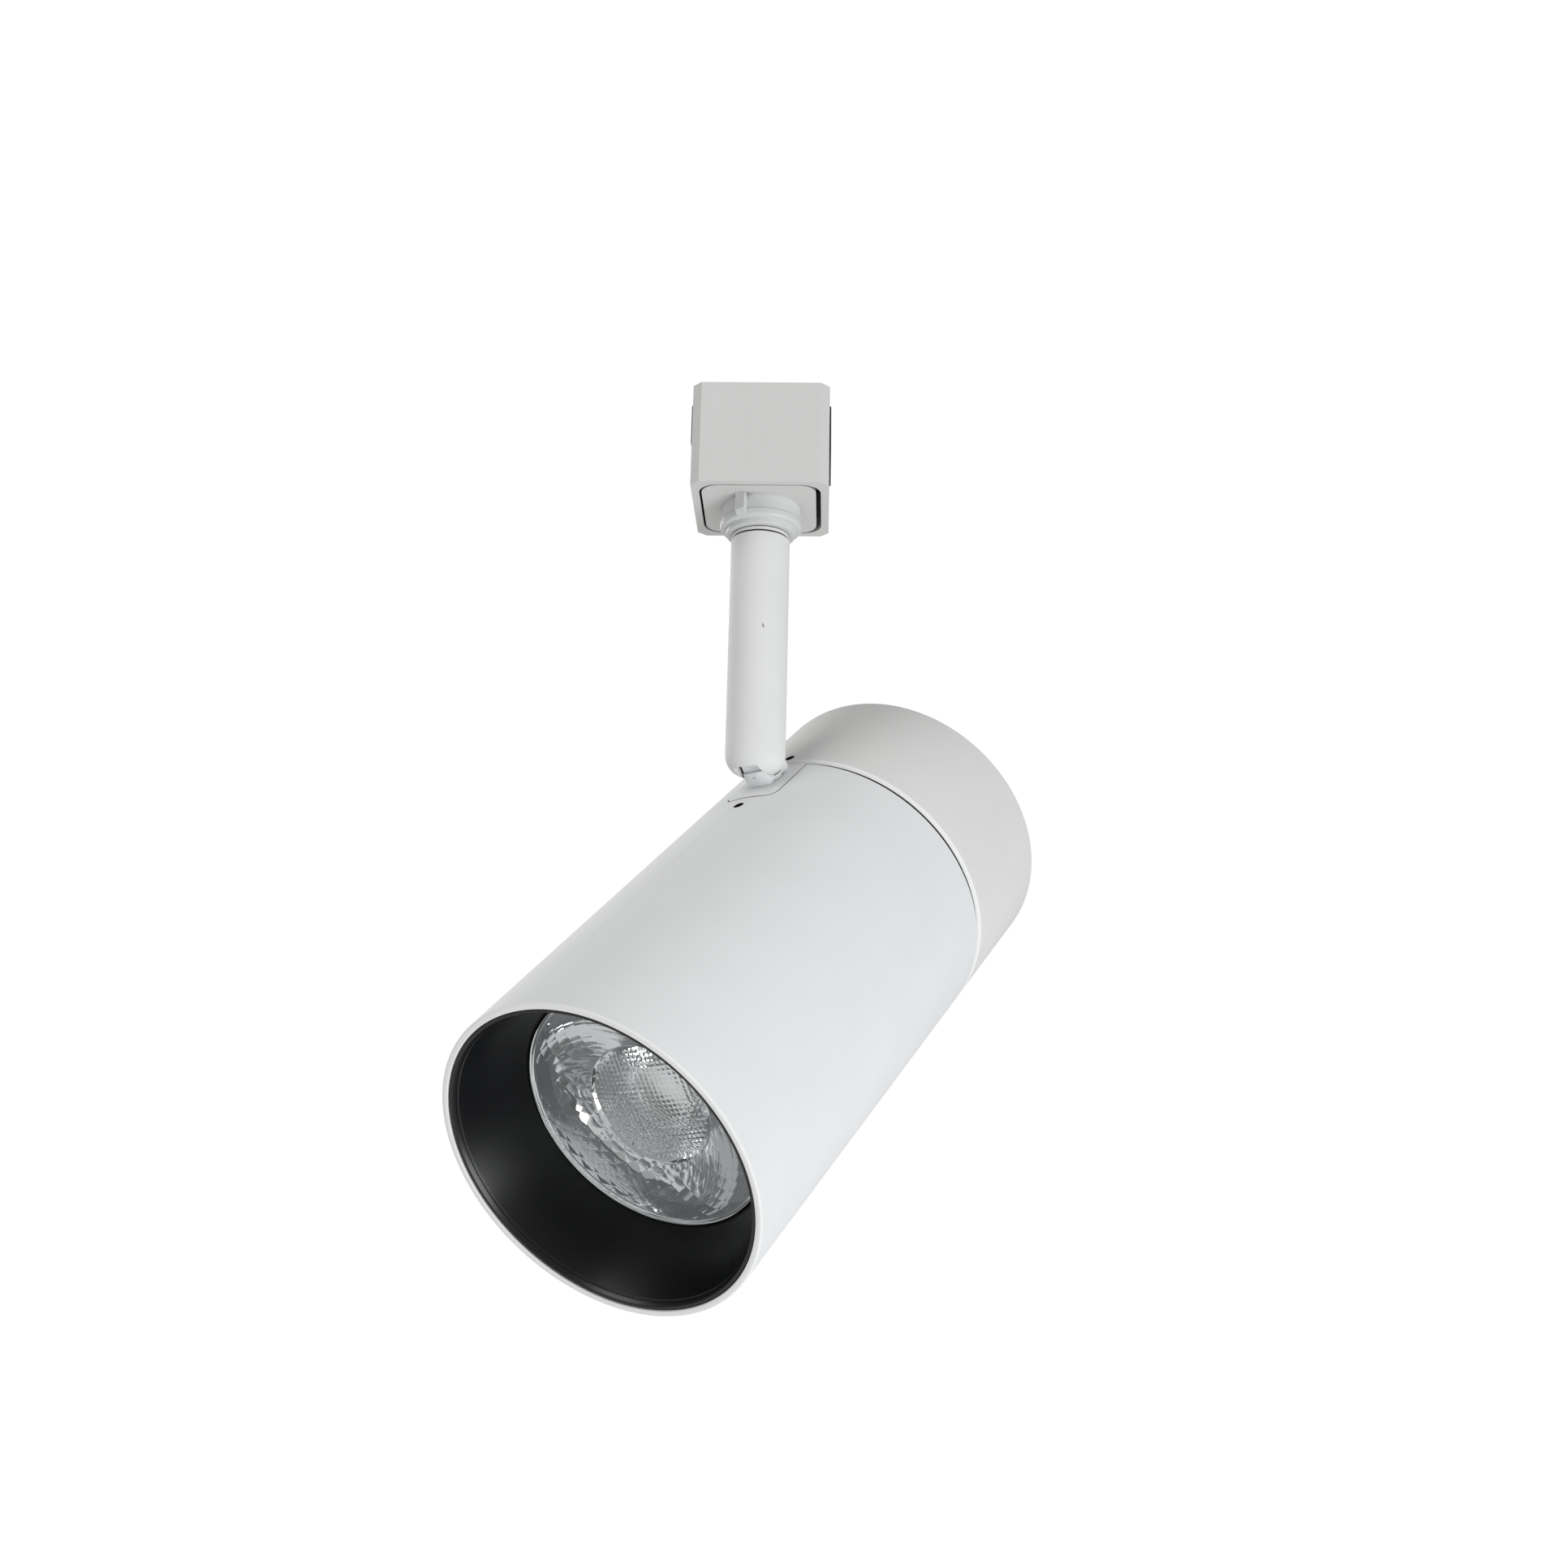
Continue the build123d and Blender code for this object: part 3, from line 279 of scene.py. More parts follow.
def show(piece, place, body, nodes, finish, edge=0.12, sharp=32, segments=2):
    """Rounds a piece's edges, puts it in its place and hangs it on its body."""
    mesh = bmesh.new()
    mesh.from_mesh(piece.data)
    bmesh.ops.remove_doubles(mesh, verts=mesh.verts, dist=2e-4)
    bmesh.ops.dissolve_degenerate(mesh, dist=2e-4, edges=mesh.edges)
    if not edge:
        for line in mesh.edges:
            if line.is_manifold and line.calc_face_angle() > math.radians(sharp):
                line.smooth = False
    mesh.to_mesh(piece.data)
    mesh.free()
    if len(piece.data.materials):
        piece.data.materials[0] = finish
    else:
        piece.data.materials.append(finish)
    piece.data.shade_smooth()
    if edge:
        bevel = piece.modifiers.new("edge", "BEVEL")
        bevel.width = edge
        bevel.segments = segments
        bevel.limit_method = "ANGLE"
        bevel.angle_limit = math.radians(sharp)
        bevel.miter_outer = "MITER_ARC"
        bevel.harden_normals = True
        applied(piece)
    piece.data.transform(place)
    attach(piece, body)
    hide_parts(*nodes)
    return piece


# ------------------------------------------------------------------------- finishes
class Finish:
    """A principled shader with a few ways to vary it over the surface."""

    def __init__(self, name, colour, roughness, **sockets):
        self.material = bpy.data.materials.new(name)
        self.material.use_nodes = True
        self.tree = self.material.node_tree
        self.shader = self.tree.nodes["Principled BSDF"]
        self.place = self.add("ShaderNodeTexCoord").outputs["Object"]
        self.colour = colour
        self.set("Base Color", (*colour, 1))
        self.set("Roughness", roughness)
        for socket, value in sockets.items():
            self.set(socket.replace("_", " "), value)

    def set(self, socket, value):
        self.shader.inputs[socket].default_value = value

    def add(self, kind, **settings):
        node = self.tree.nodes.new(kind)
        for setting, value in settings.items():
            setattr(node, setting, value)
        return node

    def link(self, start, end):
        self.tree.links.new(start, end)

    def noise(self, size, detail=3.0, stretch=(1, 1, 1), turn=(0, 0, 0)):
        """Soft noise whose features are about size millimetres across."""
        mapping = self.add("ShaderNodeMapping")
        mapping.inputs["Scale"].default_value = stretch
        mapping.inputs["Rotation"].default_value = turn
        texture = self.add("ShaderNodeTexNoise")
        texture.inputs["Scale"].default_value = 1 / (size * MM)
        texture.inputs["Detail"].default_value = detail
        self.link(self.place, mapping.inputs["Vector"])
        self.link(mapping.outputs["Vector"], texture.inputs["Vector"])
        return texture.outputs["Fac"]

    def spread(self, factor, low, high, start=0.3, end=0.7):
        """Maps a factor onto a range of values."""
        node = self.add("ShaderNodeMapRange")
        for socket, value in zip(("From Min", "From Max", "To Min", "To Max"), (start, end, low, high)):
            node.inputs[socket].default_value = value
        self.link(factor, node.inputs["Value"])
        return node.outputs["Result"]

    def mottle_and_shade(self, factor, change, gap_shade=True):
        """Lightens and darkens the colour by a share of itself, and darkens it in narrow gaps and corners as
        painted shade.
        """
        ramp = self.add("ShaderNodeValToRGB")
        for element, place, share in zip(ramp.color_ramp.elements, (0.3, 0.7), (1 - change, 1 + change)):
            element.position = place
            element.color = (*[min(1.0, value * share) for value in self.colour], 1)
        self.link(factor, ramp.inputs["Fac"])
        colour = ramp.outputs["Color"]
        # painted shade: ambient occlusion darkens the base colour in gaps and corners
        if gap_shade:
            occlusion = self.add("ShaderNodeAmbientOcclusion", samples=6)
            occlusion.inputs["Distance"].default_value = GAP_SHADE_REACH * MM
            shade = self.add("ShaderNodeHueSaturation")
            self.link(self.spread(occlusion.outputs["AO"], 0.02, 1.0, 0.15, 0.5), shade.inputs["Value"])
            self.link(colour, shade.inputs["Color"])
            colour = shade.outputs["Color"]
        self.link(colour, self.shader.inputs["Base Color"])

    def rough(self, factor, low, high):
        self.link(self.spread(factor, low, high), self.shader.inputs["Roughness"])

    def bumps(self, *layers):
        """Stacks (height, depth in millimetres, strength) layers of relief."""
        normal = None
        for height, depth, strength in layers:
            bump = self.add("ShaderNodeBump")
            bump.inputs["Distance"].default_value = depth * MM
            bump.inputs["Strength"].default_value = strength
            self.link(height, bump.inputs["Height"])
            if normal is not None:
                self.link(normal, bump.inputs["Normal"])
            normal = bump.outputs["Normal"]
        self.link(normal, self.shader.inputs["Normal"])


def powder_coat(name, colour, roughness=0.7):
    """Satin paint: a soft orange peel with a fine grain on top."""
    finish = Finish(name, colour, roughness, Specular_IOR_Level=0.25)
    grain = finish.noise(0.35, 2)
    finish.mottle_and_shade(finish.noise(14, 4), 0.012)
    finish.rough(finish.noise(3.0, 3), roughness - 0.05, roughness + 0.06)
    finish.bumps((finish.noise(1.3, 2), 0.03, 0.35), (grain, 0.012, 0.5))
    return finish


def moulded(name, colour, roughness=0.45, grain=0.3, depth=0.015, change=0.015):
    """Spark-eroded plastic with a fine even grain and faint flow marks."""
    finish = Finish(name, colour, roughness)
    finish.mottle_and_shade(finish.noise(9, 4, (1, 1, 0.35)), change)
    finish.rough(finish.noise(2.0, 3), roughness - 0.06, roughness + 0.08)
    finish.bumps((finish.noise(grain, 2), depth, 0.55), (finish.noise(5, 1), 0.04, 0.2))
    return finish


def worked_metal(name, colour, roughness=0.3, stretch=(1, 1, 12), change=0.06):
    """Drawn or turned metal with fine lines and a little staining."""
    finish = Finish(name, colour, roughness, Metallic=1.0)
    lines = finish.noise(1.2, 3, stretch)
    finish.mottle_and_shade(finish.noise(2.5, 4), change)
    finish.rough(lines, roughness - 0.08, roughness + 0.12)
    finish.bumps((lines, 0.01, 0.4))
    return finish


def cast_metal(name, colour):
    """Die-cast alloy with a coarse skin."""
    finish = Finish(name, colour, 0.5, Metallic=1.0)
    finish.mottle_and_shade(finish.noise(6, 5), 0.09)
    finish.rough(finish.noise(1.5, 3), 0.4, 0.62)
    finish.bumps((finish.noise(0.7, 4), 0.05, 0.6))
    return finish


def marked_paint():
    """The lamp's paint with one small chip in it."""
    finish = powder_coat("stem_paint", (0.825, 0.825, 0.82))
    painted = finish.shader.inputs["Base Color"].links[0].from_socket
    around = finish.add("ShaderNodeMapping", vector_type="TEXTURE")
    around.inputs["Location"].default_value = CHIP_AT
    around.inputs["Rotation"].default_value = (0, math.radians(-20), 0)
    around.inputs["Scale"].default_value = (1, 1, 2.5)
    finish.link(finish.place, around.inputs["Vector"])
    away = finish.add("ShaderNodeVectorMath", operation="LENGTH")
    finish.link(around.outputs["Vector"], away.inputs[0])
    bare = finish.spread(away.outputs["Value"], 0.35, 1.0, 0.12 * MM, 0.34 * MM)
    chip = finish.add("ShaderNodeHueSaturation")
    finish.link(bare, chip.inputs["Value"])
    finish.link(painted, chip.inputs["Color"])
    finish.link(chip.outputs["Color"], finish.shader.inputs["Base Color"])
    return finish


def smooth_black():
    """Satin black moulding with an even, very fine grain."""
    finish = Finish("baffle_plastic", (0.006, 0.0065, 0.0075), 0.3)
    finish.mottle_and_shade(finish.noise(0.4, 2), 0.06)
    finish.bumps((finish.noise(0.4, 2), 0.004, 0.4))
    return finish


def clear_optic():
    """Water-clear moulded acrylic with the faintest flow ripple."""
    finish = Finish("clear_optic", (0.93, 0.94, 0.94), 0.015, IOR=1.49, Transmission_Weight=1.0)
    finish.bumps((finish.noise(6, 2), 0.02, 0.08))
    return finish


def mirrored_back():
    """Bright metallised film on the back of the optic, with a faint painted glow."""
    finish = Finish("mirrored_back", (0.90, 0.91, 0.91), 0.05, Metallic=1.0)
    finish.mottle_and_shade(finish.noise(2.5, 3), 0.03, False)
    finish.rough(finish.noise(1.2, 2), 0.02, 0.05)
    # painted light: a faint glow lifts the mirror to a mid grey
    finish.set("Emission Color", (0.95, 0.97, 1, 1))
    finish.set("Emission Strength", 0.035)
    finish.bumps((finish.noise(3, 2), 0.01, 0.1))
    return finish


def circuit_board():
    """Green solder mask with copper pads showing through."""
    finish = Finish("circuit_board", (0.03, 0.20, 0.08), 0.3, Coat_Weight=0.5)
    finish.mottle_and_shade(finish.noise(4, 2, (1, 1, 4)), 0.25)
    finish.bumps((finish.noise(1.6, 1), 0.03, 0.4))
    return finish


def phosphor():
    """Yellow silicone gel, slightly cloudy."""
    finish = Finish("phosphor", (0.86, 0.66, 0.16), 0.35, Coat_Weight=0.4)
    finish.mottle_and_shade(finish.noise(0.8, 3), 0.06)
    finish.bumps((finish.noise(1.5, 2), 0.03, 0.3))
    return finish


def lead_sleeve():
    """Extruded insulation."""
    finish = Finish("lead_insulation", (0.55, 0.06, 0.05), 0.4)
    finish.mottle_and_shade(finish.noise(8, 2), 0.08)
    finish.bumps((finish.noise(0.8, 2, (1, 1, 0.1)), 0.02, 0.3))
    return finish


FINISHES = {
    "adapter_plastic": moulded("adapter_plastic", (0.70, 0.70, 0.685), 0.5),
    "collar_plastic": moulded("collar_plastic", (0.70, 0.71, 0.70), 0.32),
    "white_plastic": moulded("white_plastic", (0.82, 0.82, 0.80), 0.4),
    "latch_plastic": moulded("latch_plastic", (0.022, 0.022, 0.024), 0.45, change=0.08),
    "lamp_paint": powder_coat("lamp_paint", (0.86, 0.865, 0.87)),
    # darker copy of the lamp paint for the rear cap, as painted shade; its tone is a little warmer
    "shaded_cap_paint": powder_coat("shaded_cap_paint", (0.785, 0.78, 0.77)),
    "stem_paint": marked_paint(),
    # lighter copy of the lamp paint: painted highlight on the front rim and the seam bevel
    "lit_edge_paint": powder_coat("lit_edge_paint", (0.97, 0.97, 0.965), 0.6),
    # lighter copy of the lamp paint: painted light against the shade under the stem
    "lit_knuckle_paint": powder_coat("lit_knuckle_paint", (0.95, 0.955, 0.96)),
    "baffle_plastic": smooth_black(),
    "black_plastic": moulded("black_plastic", (0.02, 0.02, 0.02), 0.5, change=0.1),
    "black_rubber": moulded("black_rubber", (0.008, 0.008, 0.008), 0.8, 0.5, 0.03, 0.1),
    "black_steel": worked_metal("black_steel", (0.03, 0.03, 0.03), 0.4),
    "steel": worked_metal("steel", (0.60, 0.60, 0.58), 0.28),
    "brass": worked_metal("brass", (0.78, 0.56, 0.24), 0.25),
    "cast_aluminium": cast_metal("cast_aluminium", (0.60, 0.61, 0.62)),
    "clear_optic": clear_optic(),
    "mirrored_back": mirrored_back(),
    "led_board": moulded("led_board", (0.80, 0.80, 0.76), 0.3, 0.6, 0.01, 0.03),
    "phosphor": phosphor(),
    "thermal_sheet": moulded("thermal_sheet", (0.30, 0.32, 0.35), 0.8, 0.6, 0.04, 0.05),
    "circuit_board": circuit_board(),
    "ferrite": moulded("ferrite", (0.035, 0.035, 0.037), 0.6, 0.4, 0.05, 0.12),
    "capacitor_sleeve": moulded("capacitor_sleeve", (0.02, 0.025, 0.05), 0.25, 1.2, 0.01, 0.1),
    "lead_insulation": lead_sleeve(),
}


def skin(slot):
    return FINISHES[slot].material


# ------------------------------------------------------------------- lamp: casings
def notch_form(gap):
    """U-shaped opening at the top of the housing, less a gap all round."""
    front, half, corner = PLATE_FRONT + gap, PLATE_HALF - gap, PLATE_CORNER - gap
    back = front + BODY_R
    corners = ((front, -half, corner), (back, -half, 0), (back, half, 0), (front, half, corner))
    return prism(rounded(corners, 10), 20, 50)


def drilled(radius, station, low=30, high=45):
    """Round hole square to the lamp's axis."""
    return prism(circle(radius, station, 0, 48), low, high)


def shaded_hole_wall(station):
    """Picks the wall of a casing's set screw hole, which is painted black as painted shade."""
    def inside(centre, normal):
        away = math.hypot(centre.x - station, centre.y)
        return away < SET_HOLE_R + 0.05 and centre.z > 0 and abs(normal.z) < 0.5
    return inside


def front_housing():
    """Front tube with a rolled rim, a rebate for the baffle and the plate's notch."""
    tube = turned("front_housing", rounded((
        (0, BODY_R, RIM_ROUND), (SEAM_AT, BODY_R, 0.3), (SEAM_AT, BODY_IN, 0),
        (REBATE_DEPTH, BODY_IN, 0), (REBATE_DEPTH, REBATE_R, 0), (0, REBATE_R, 0.2),
    )))
    cut(tube, notch_form(0), drilled(SET_HOLE_R, SET_HOLES[0]))
    # the hole's wall is painted black: painted shade
    touched_up(tube, shaded_hole_wall(SET_HOLES[0]), skin("black_plastic"))
    # the rim's front face gets the lighter paint as a painted highlight
    touched_up(tube, lambda centre, normal: centre.x < 0.3, skin("lit_edge_paint"), 2)
    show(tube, LAMP_AT, "lamp", ("front_housing",), skin("lamp_paint"), 0.12, 50)


def rear_cap():
    """Closed rear shell, bevelled at the seam and rounded at the back."""
    inner_back = BODY_LEN - BACK_WALL
    cap = turned("rear_cap", rounded((
        (CAP_START, BODY_R - SEAM_BEVEL, 0.1), (CAP_START + SEAM_BEVEL, BODY_R, 0.15),
        (BODY_LEN, BODY_R, BACK_ROUND), (BODY_LEN, 0, 0), (inner_back, 0, 0),
        (inner_back, BODY_IN, 0.5), (CAP_START, BODY_IN, 0.2),
    )))
    cut(cap, drilled(SET_HOLE_R, SET_HOLES[1]))
    # the hole's wall is painted black: painted shade
    touched_up(cap, shaded_hole_wall(SET_HOLES[1]), skin("black_plastic"))
    # the seam bevel gets the lighter paint as a painted highlight
    touched_up(cap, lambda centre, normal: centre.x < CAP_START + SEAM_BEVEL, skin("lit_edge_paint"), 2)
    show(cap, LAMP_AT, "lamp", ("rear_cap",), skin("shaded_cap_paint"), 0.12, 50)


def mount_plate():
    """Curved plate in the notch, with a soft front edge."""
    plate = turned("mount_plate", [
        (PLATE_FRONT, PLATE_OUT), (SEAM_AT, PLATE_OUT), (SEAM_AT, PLATE_IN), (PLATE_FRONT, PLATE_IN)])
    kept(plate, notch_form(PLATE_GAP))
    cut(plate, drilled(PLATE_HOLE_R, PIVOT_S))
    show(plate, LAMP_AT, "lamp", ("mount_plate",), skin("lamp_paint"), 0.25, 40, 3)


def knuckle():
    """Tilt block: foot with its ledge, ribbed cheeks, tongue, barrel and spigot."""
    foot = kept(
        box((PIVOT_S - FOOT_FRONT, PIVOT_S + FOOT_BACK), (-FOOT_HALF, FOOT_HALF),
            (BODY_R - 2, BODY_R + FOOT_RISE), "knuckle"),
        prism(circle(FOOT_R, PIVOT_S + FOOT_SHIFT, 0, 128), BODY_R - 3, BODY_R + 5))
    seat_r = PLATE_OUT + 0.02
    cut(foot, turned("form", [(90, seat_r), (130, seat_r), (130, 0), (90, 0)]))
    tongue = box((PIVOT_S - TONGUE_FRONT, PIVOT_S + BARREL_R), (-TONGUE_HALF, TONGUE_HALF),
                 (BODY_R + 2, PIVOT_R))
    barrel = prism(circle(BARREL_R, PIVOT_S, PIVOT_R), -TONGUE_HALF, TONGUE_HALF, on_wall)
    spigot = prism(circle(SPIGOT_R, PIVOT_S), SPIGOT_END, BODY_R + 1)
    joined(foot, tongue, barrel, spigot)
    grooves = []
    for number in range(CHEEK_GROOVES):
        middle = PIVOT_S + GROOVE_START + number * GROOVE_PITCH
        for side in (-1, 1):
            grooves.append(box(
                (middle - GROOVE_HALF, middle + GROOVE_HALF),
                (side * TONGUE_HALF - GROOVE_DEPTH, side * TONGUE_HALF + GROOVE_DEPTH),
                (BODY_R + FOOT_RISE + 0.2, PIVOT_R - 4.6)))
    mark = box((PIVOT_S - 6, PIVOT_S - 5.0), (-0.45, 0.45), (BODY_R + 2.5, BODY_R + 2.75))
    cut(foot, prism(circle(PIN_R, PIVOT_S, PIVOT_R), -5, 5, on_wall),
        prism(circle(SPIGOT_BORE_R, PIVOT_S), SPIGOT_END - 0.5, BODY_R + 2), mark, *grooves)
    show(foot, LAMP_AT, "lamp", ("knuckle",), skin("lit_knuckle_paint"), 0.1, 32)


# -------------------------------------------------------------------- lamp: optics
def baffle():
    """Black anti-glare cone with a rolled lip and a fine groove inside it."""
    outer_throat = THROAT_R + THROAT_WALL
    form = turned("baffle", rounded((
        (LIP_BACK, LIP_R, 0), (LIP_FRONT, LIP_R, 0.35), (LIP_FRONT, LIP_INNER_R, 0.3),
        (1.5, 36.95, 0.2), (1.75, 37.1, 0.1), (LIP_BACK, 36.8, 0.15),
        (THROAT_S, THROAT_R, 0.3), (THROAT_END, THROAT_R, 0), (THROAT_END, outer_throat, 0),
        (THROAT_S + 0.7, outer_throat, 0), (LIP_BACK, 37.9, 0),
    )))
    show(form, LAMP_AT, "lamp", ("baffle",), skin("baffle_plastic"), 0)


def tir_outline(share):
    """Point (along, radius) on the lens's curved back, from its rim to its waist."""
    first, last = BACK_FRONT.lerp(BACK_MIDDLE, share), BACK_MIDDLE.lerp(BACK_WAIST, share)
    return first.lerp(last, share)


def facet_rows(mesh, ring_steps):
    """Diamond facets, each a low pillow, over the curved back; returns its end rings."""
    rows = []
    for row in range(FACET_ROWS + 1):
        along, radius = tir_outline(row / FACET_ROWS)
        full = row in (0, FACET_ROWS)
        count = ring_steps if full else FACET_COLUMNS
        shift = 0 if full else 0.5 * (row % 2)
        turns = (2 * math.pi * (k + shift) / count for k in range(count))
        rows.append([mesh.verts.new(along_x(along, radius, turn)) for turn in turns])
    stride = ring_steps // FACET_COLUMNS

    def corner(row, column):
        ring = rows[row]
        return ring[(column * (len(ring) // FACET_COLUMNS)) % len(ring)]

    def facet(*outline):
        """Facet raised in the middle, sharp only along its outline."""
        middle = sum((v.co for v in outline), Vector()) / len(outline)
        outward = Vector((0, middle.y, middle.z)).normalized() * FACET_RISE
        apex = mesh.verts.new(middle + outward)
        for before, here in zip(outline, outline[1:] + outline[:1]):
            face = mesh.faces.new((before, here, apex))
            face.material_index = 1
            mesh.edges.get((before, here)).smooth = False

    for row in range(FACET_ROWS - 1):
        for column in range(FACET_COLUMNS):
            side = column + row % 2
            facet(corner(row, column), corner(row + 1, side),
                  corner(row + 2, column), corner(row + 1, side - 1))
    for row, neighbour in ((0, 1), (FACET_ROWS, FACET_ROWS - 1)):
        ring = rows[row]
        for column in range(FACET_COLUMNS):
            edge = [ring[(column * stride + k) % ring_steps] for k in range(stride + 1)]
            facet(*edge, corner(neighbour, column))
    return rows[0], rows[-1]


def pillow_disc(mesh, rim):
    """Sunk centre of the lens: square pillows inside a flat edge that meets the rim ring."""
    reach = int(DISC_R / PILLOW_PITCH) + 1
    grid = {}

    def height(i, j):
        bump = math.sin(math.pi * i / PILLOW_STEPS) * math.sin(math.pi * j / PILLOW_STEPS)
        return PILLOW_HEIGHT * abs(bump)

    def crown(radius):
        return DISC_CROWN * (1 - (radius / DISC_R) ** 2)

    def point(i, j):
        if (i, j) not in grid:
            y, z = (value * PILLOW_PITCH / PILLOW_STEPS for value in (i, j))
            grid[i, j] = mesh.verts.new((DISC_S - height(i, j) - crown(math.hypot(y, z)), y, z))
        return grid[i, j]

    for row in range(-reach, reach):
        for column in range(-reach, reach):
            far = max(math.hypot(row + a, column + b) for a in (0, 1) for b in (0, 1))
            if far * PILLOW_PITCH > DISC_R - 0.3:
                continue
            for i in range(row * PILLOW_STEPS, (row + 1) * PILLOW_STEPS):
                for j in range(column * PILLOW_STEPS, (column + 1) * PILLOW_STEPS):
                    mesh.faces.new((point(i, j), point(i + 1, j), point(i + 1, j + 1), point(i, j + 1)))
    mesh.edges.ensure_lookup_table()
    open_edges = [edge for edge in mesh.edges if edge.is_boundary and edge.verts[0].co.x < DISC_S + 0.1]
    inner = [
        edge for edge in open_edges
        if all(math.hypot(corner.co.y, corner.co.z) < DISC_R - 0.05 for corner in edge.verts)
    ]
    outer = [mesh.edges.get((rim[k - 1], rim[k])) for k in range(len(rim))]
    bmesh.ops.triangle_fill(mesh, edges=inner + outer, use_beauty=True)


def lens():
    """Clear optic: flanged rim, coned front, pillowed centre, faceted back and LED cavity."""
    mesh = bmesh.new()
    first, last = facet_rows(mesh, ROUND_STEPS)

    def bridge(start, points):
        """Adds one ring of faces per (along, radius) point and returns the last ring."""
        for along, radius in points:
            turns = (2 * math.pi * k / ROUND_STEPS for k in range(ROUND_STEPS))
            ring = [mesh.verts.new(along_x(along, radius, turn)) for turn in turns]
            for k in range(ROUND_STEPS):
                mesh.faces.new((start[k - 1], start[k], ring[k], ring[k - 1]))
            start = ring
        return start

    flange = rounded((
        (FLANGE_BACK, LENS_R, 0.2), (LENS_S, LENS_R, 0.25),
        (LENS_S, FLANGE_LIP_R, 0.2), (LENS_S + 0.5, FRONT_R, 0.25),
    ), 3)
    front = [
        (DISC_STEP - CONE_DROP * share - CONE_SAG * share * (1 - share), DISC_R + 0.4 + CONE_SPAN * share)
        for share in (0.8, 0.6, 0.4, 0.2)
    ]
    step = [(DISC_STEP, DISC_R + 0.5), (DISC_STEP + 0.1, DISC_R + 0.35), (DISC_S, DISC_R)]
    rim = bridge(first, [(FLANGE_BACK, 29.9), *flange, *front, *step])
    pillow_disc(mesh, rim)
    well = [(BACK_WAIST.x, WAIST_BORE_R), (DOME_BASE, DOME_R + 0.2), (DOME_BASE - 0.2, DOME_R)]
    slopes = [math.sin(math.radians(angle)) for angle in (60, 40, 20)]
    dome = [(DOME_S + DOME_RISE * slope, DOME_R * slope) for slope in slopes]
    centre = bridge(bridge(last, well), dome)
    tip = mesh.verts.new((DOME_S, 0, 0))
    for k in range(ROUND_STEPS):
        mesh.faces.new((centre[k - 1], centre[k], tip))
    for face in mesh.faces:
        middle = face.calc_center_median()
        outer = math.hypot(middle.y, middle.z) > FLANGE_LIP_R - 0.25
        if middle.x > DISC_S + 0.3 or (middle.x > LENS_S + 0.3 and outer):
            face.material_index = 1
    form = new_piece("lens", mesh)
    show(form, LAMP_AT, "lamp", ("lens",), skin("clear_optic"), 0, 20)
    form.data.materials.append(skin("mirrored_back"))


# ----------------------------------------------------------------------------- stem
def stem():
    """Painted tube with a round, slotted nose."""
    tube = turned("stem", rounded((
        (STEM_TOP, STEM_R, 0.35), (STEM_LOW, STEM_R, NOSE_ROUND), (STEM_LOW, 0, 0), (BORE_END, 0, 0),
        (BORE_END, STEM_BORE_R, 0), (STEM_TOP, STEM_BORE_R, 0),
    ), 10), along_z)
    roof = PIVOT_Z + SLOT_RISE
    slot_front = kept(prism(circle(SLOT_FRONT_R), STEM_LOW - 1, roof),
                      box((-20, 20), (-SLOT_HALF, SLOT_HALF), (STEM_LOW - 2, roof + 1)))
    slot = box((0, 10), (-SLOT_HALF, SLOT_HALF), (STEM_LOW - 1, roof + 0.5))
    around_barrel = prism(circle(BARREL_R + BARREL_GAP, 0, PIVOT_Z), -SLOT_HALF, SLOT_HALF, on_wall)
    screw = prism(circle(SCREW_R, 0, PIVOT_Z), -6.4, 8, on_wall)
    head = prism(circle(SCREW_HEAD_R, 0, PIVOT_Z), 5.2, 9, on_wall)
    lead_way = prism(circle(LEAD_WAY_R), -90, BORE_END + 1)
    cut(tube, slot_front, slot, around_barrel, screw, head, lead_way)
    show(tube, STEM_AT, "stem", ("stem",), skin("stem_paint"), 0.15, 40)


def thrust_washer():
    """White bearing ring between the collar and the stem."""
    low, high = STEM_TOP + WASHER_GAP_LOW, COLLAR_LOW - WASHER_GAP_HIGH
    ring = turned("thrust_washer", rounded((
        (low, COLLAR_BORE, 0), (low, WASHER_R, 0.15), (high, WASHER_R, 0.15), (high, COLLAR_BORE, 0),
    )), along_z)
    show(ring, STEM_AT, "stem", ("thrust_washer",), skin("white_plastic"), 0)


# -------------------------------------------------------------------------- adapter
def chamfered_square(width, depth, chamfer):
    """Rectangle with its corners cut off at 45 degrees."""
    x, y = width / 2, depth / 2
    corners = ((x, y - chamfer), (x - chamfer, y), (-x + chamfer, y), (-x, y - chamfer),
               (-x, -y + chamfer), (-x + chamfer, -y), (x - chamfer, -y), (x, -y + chamfer))
    return [Vector(corner) for corner in corners]


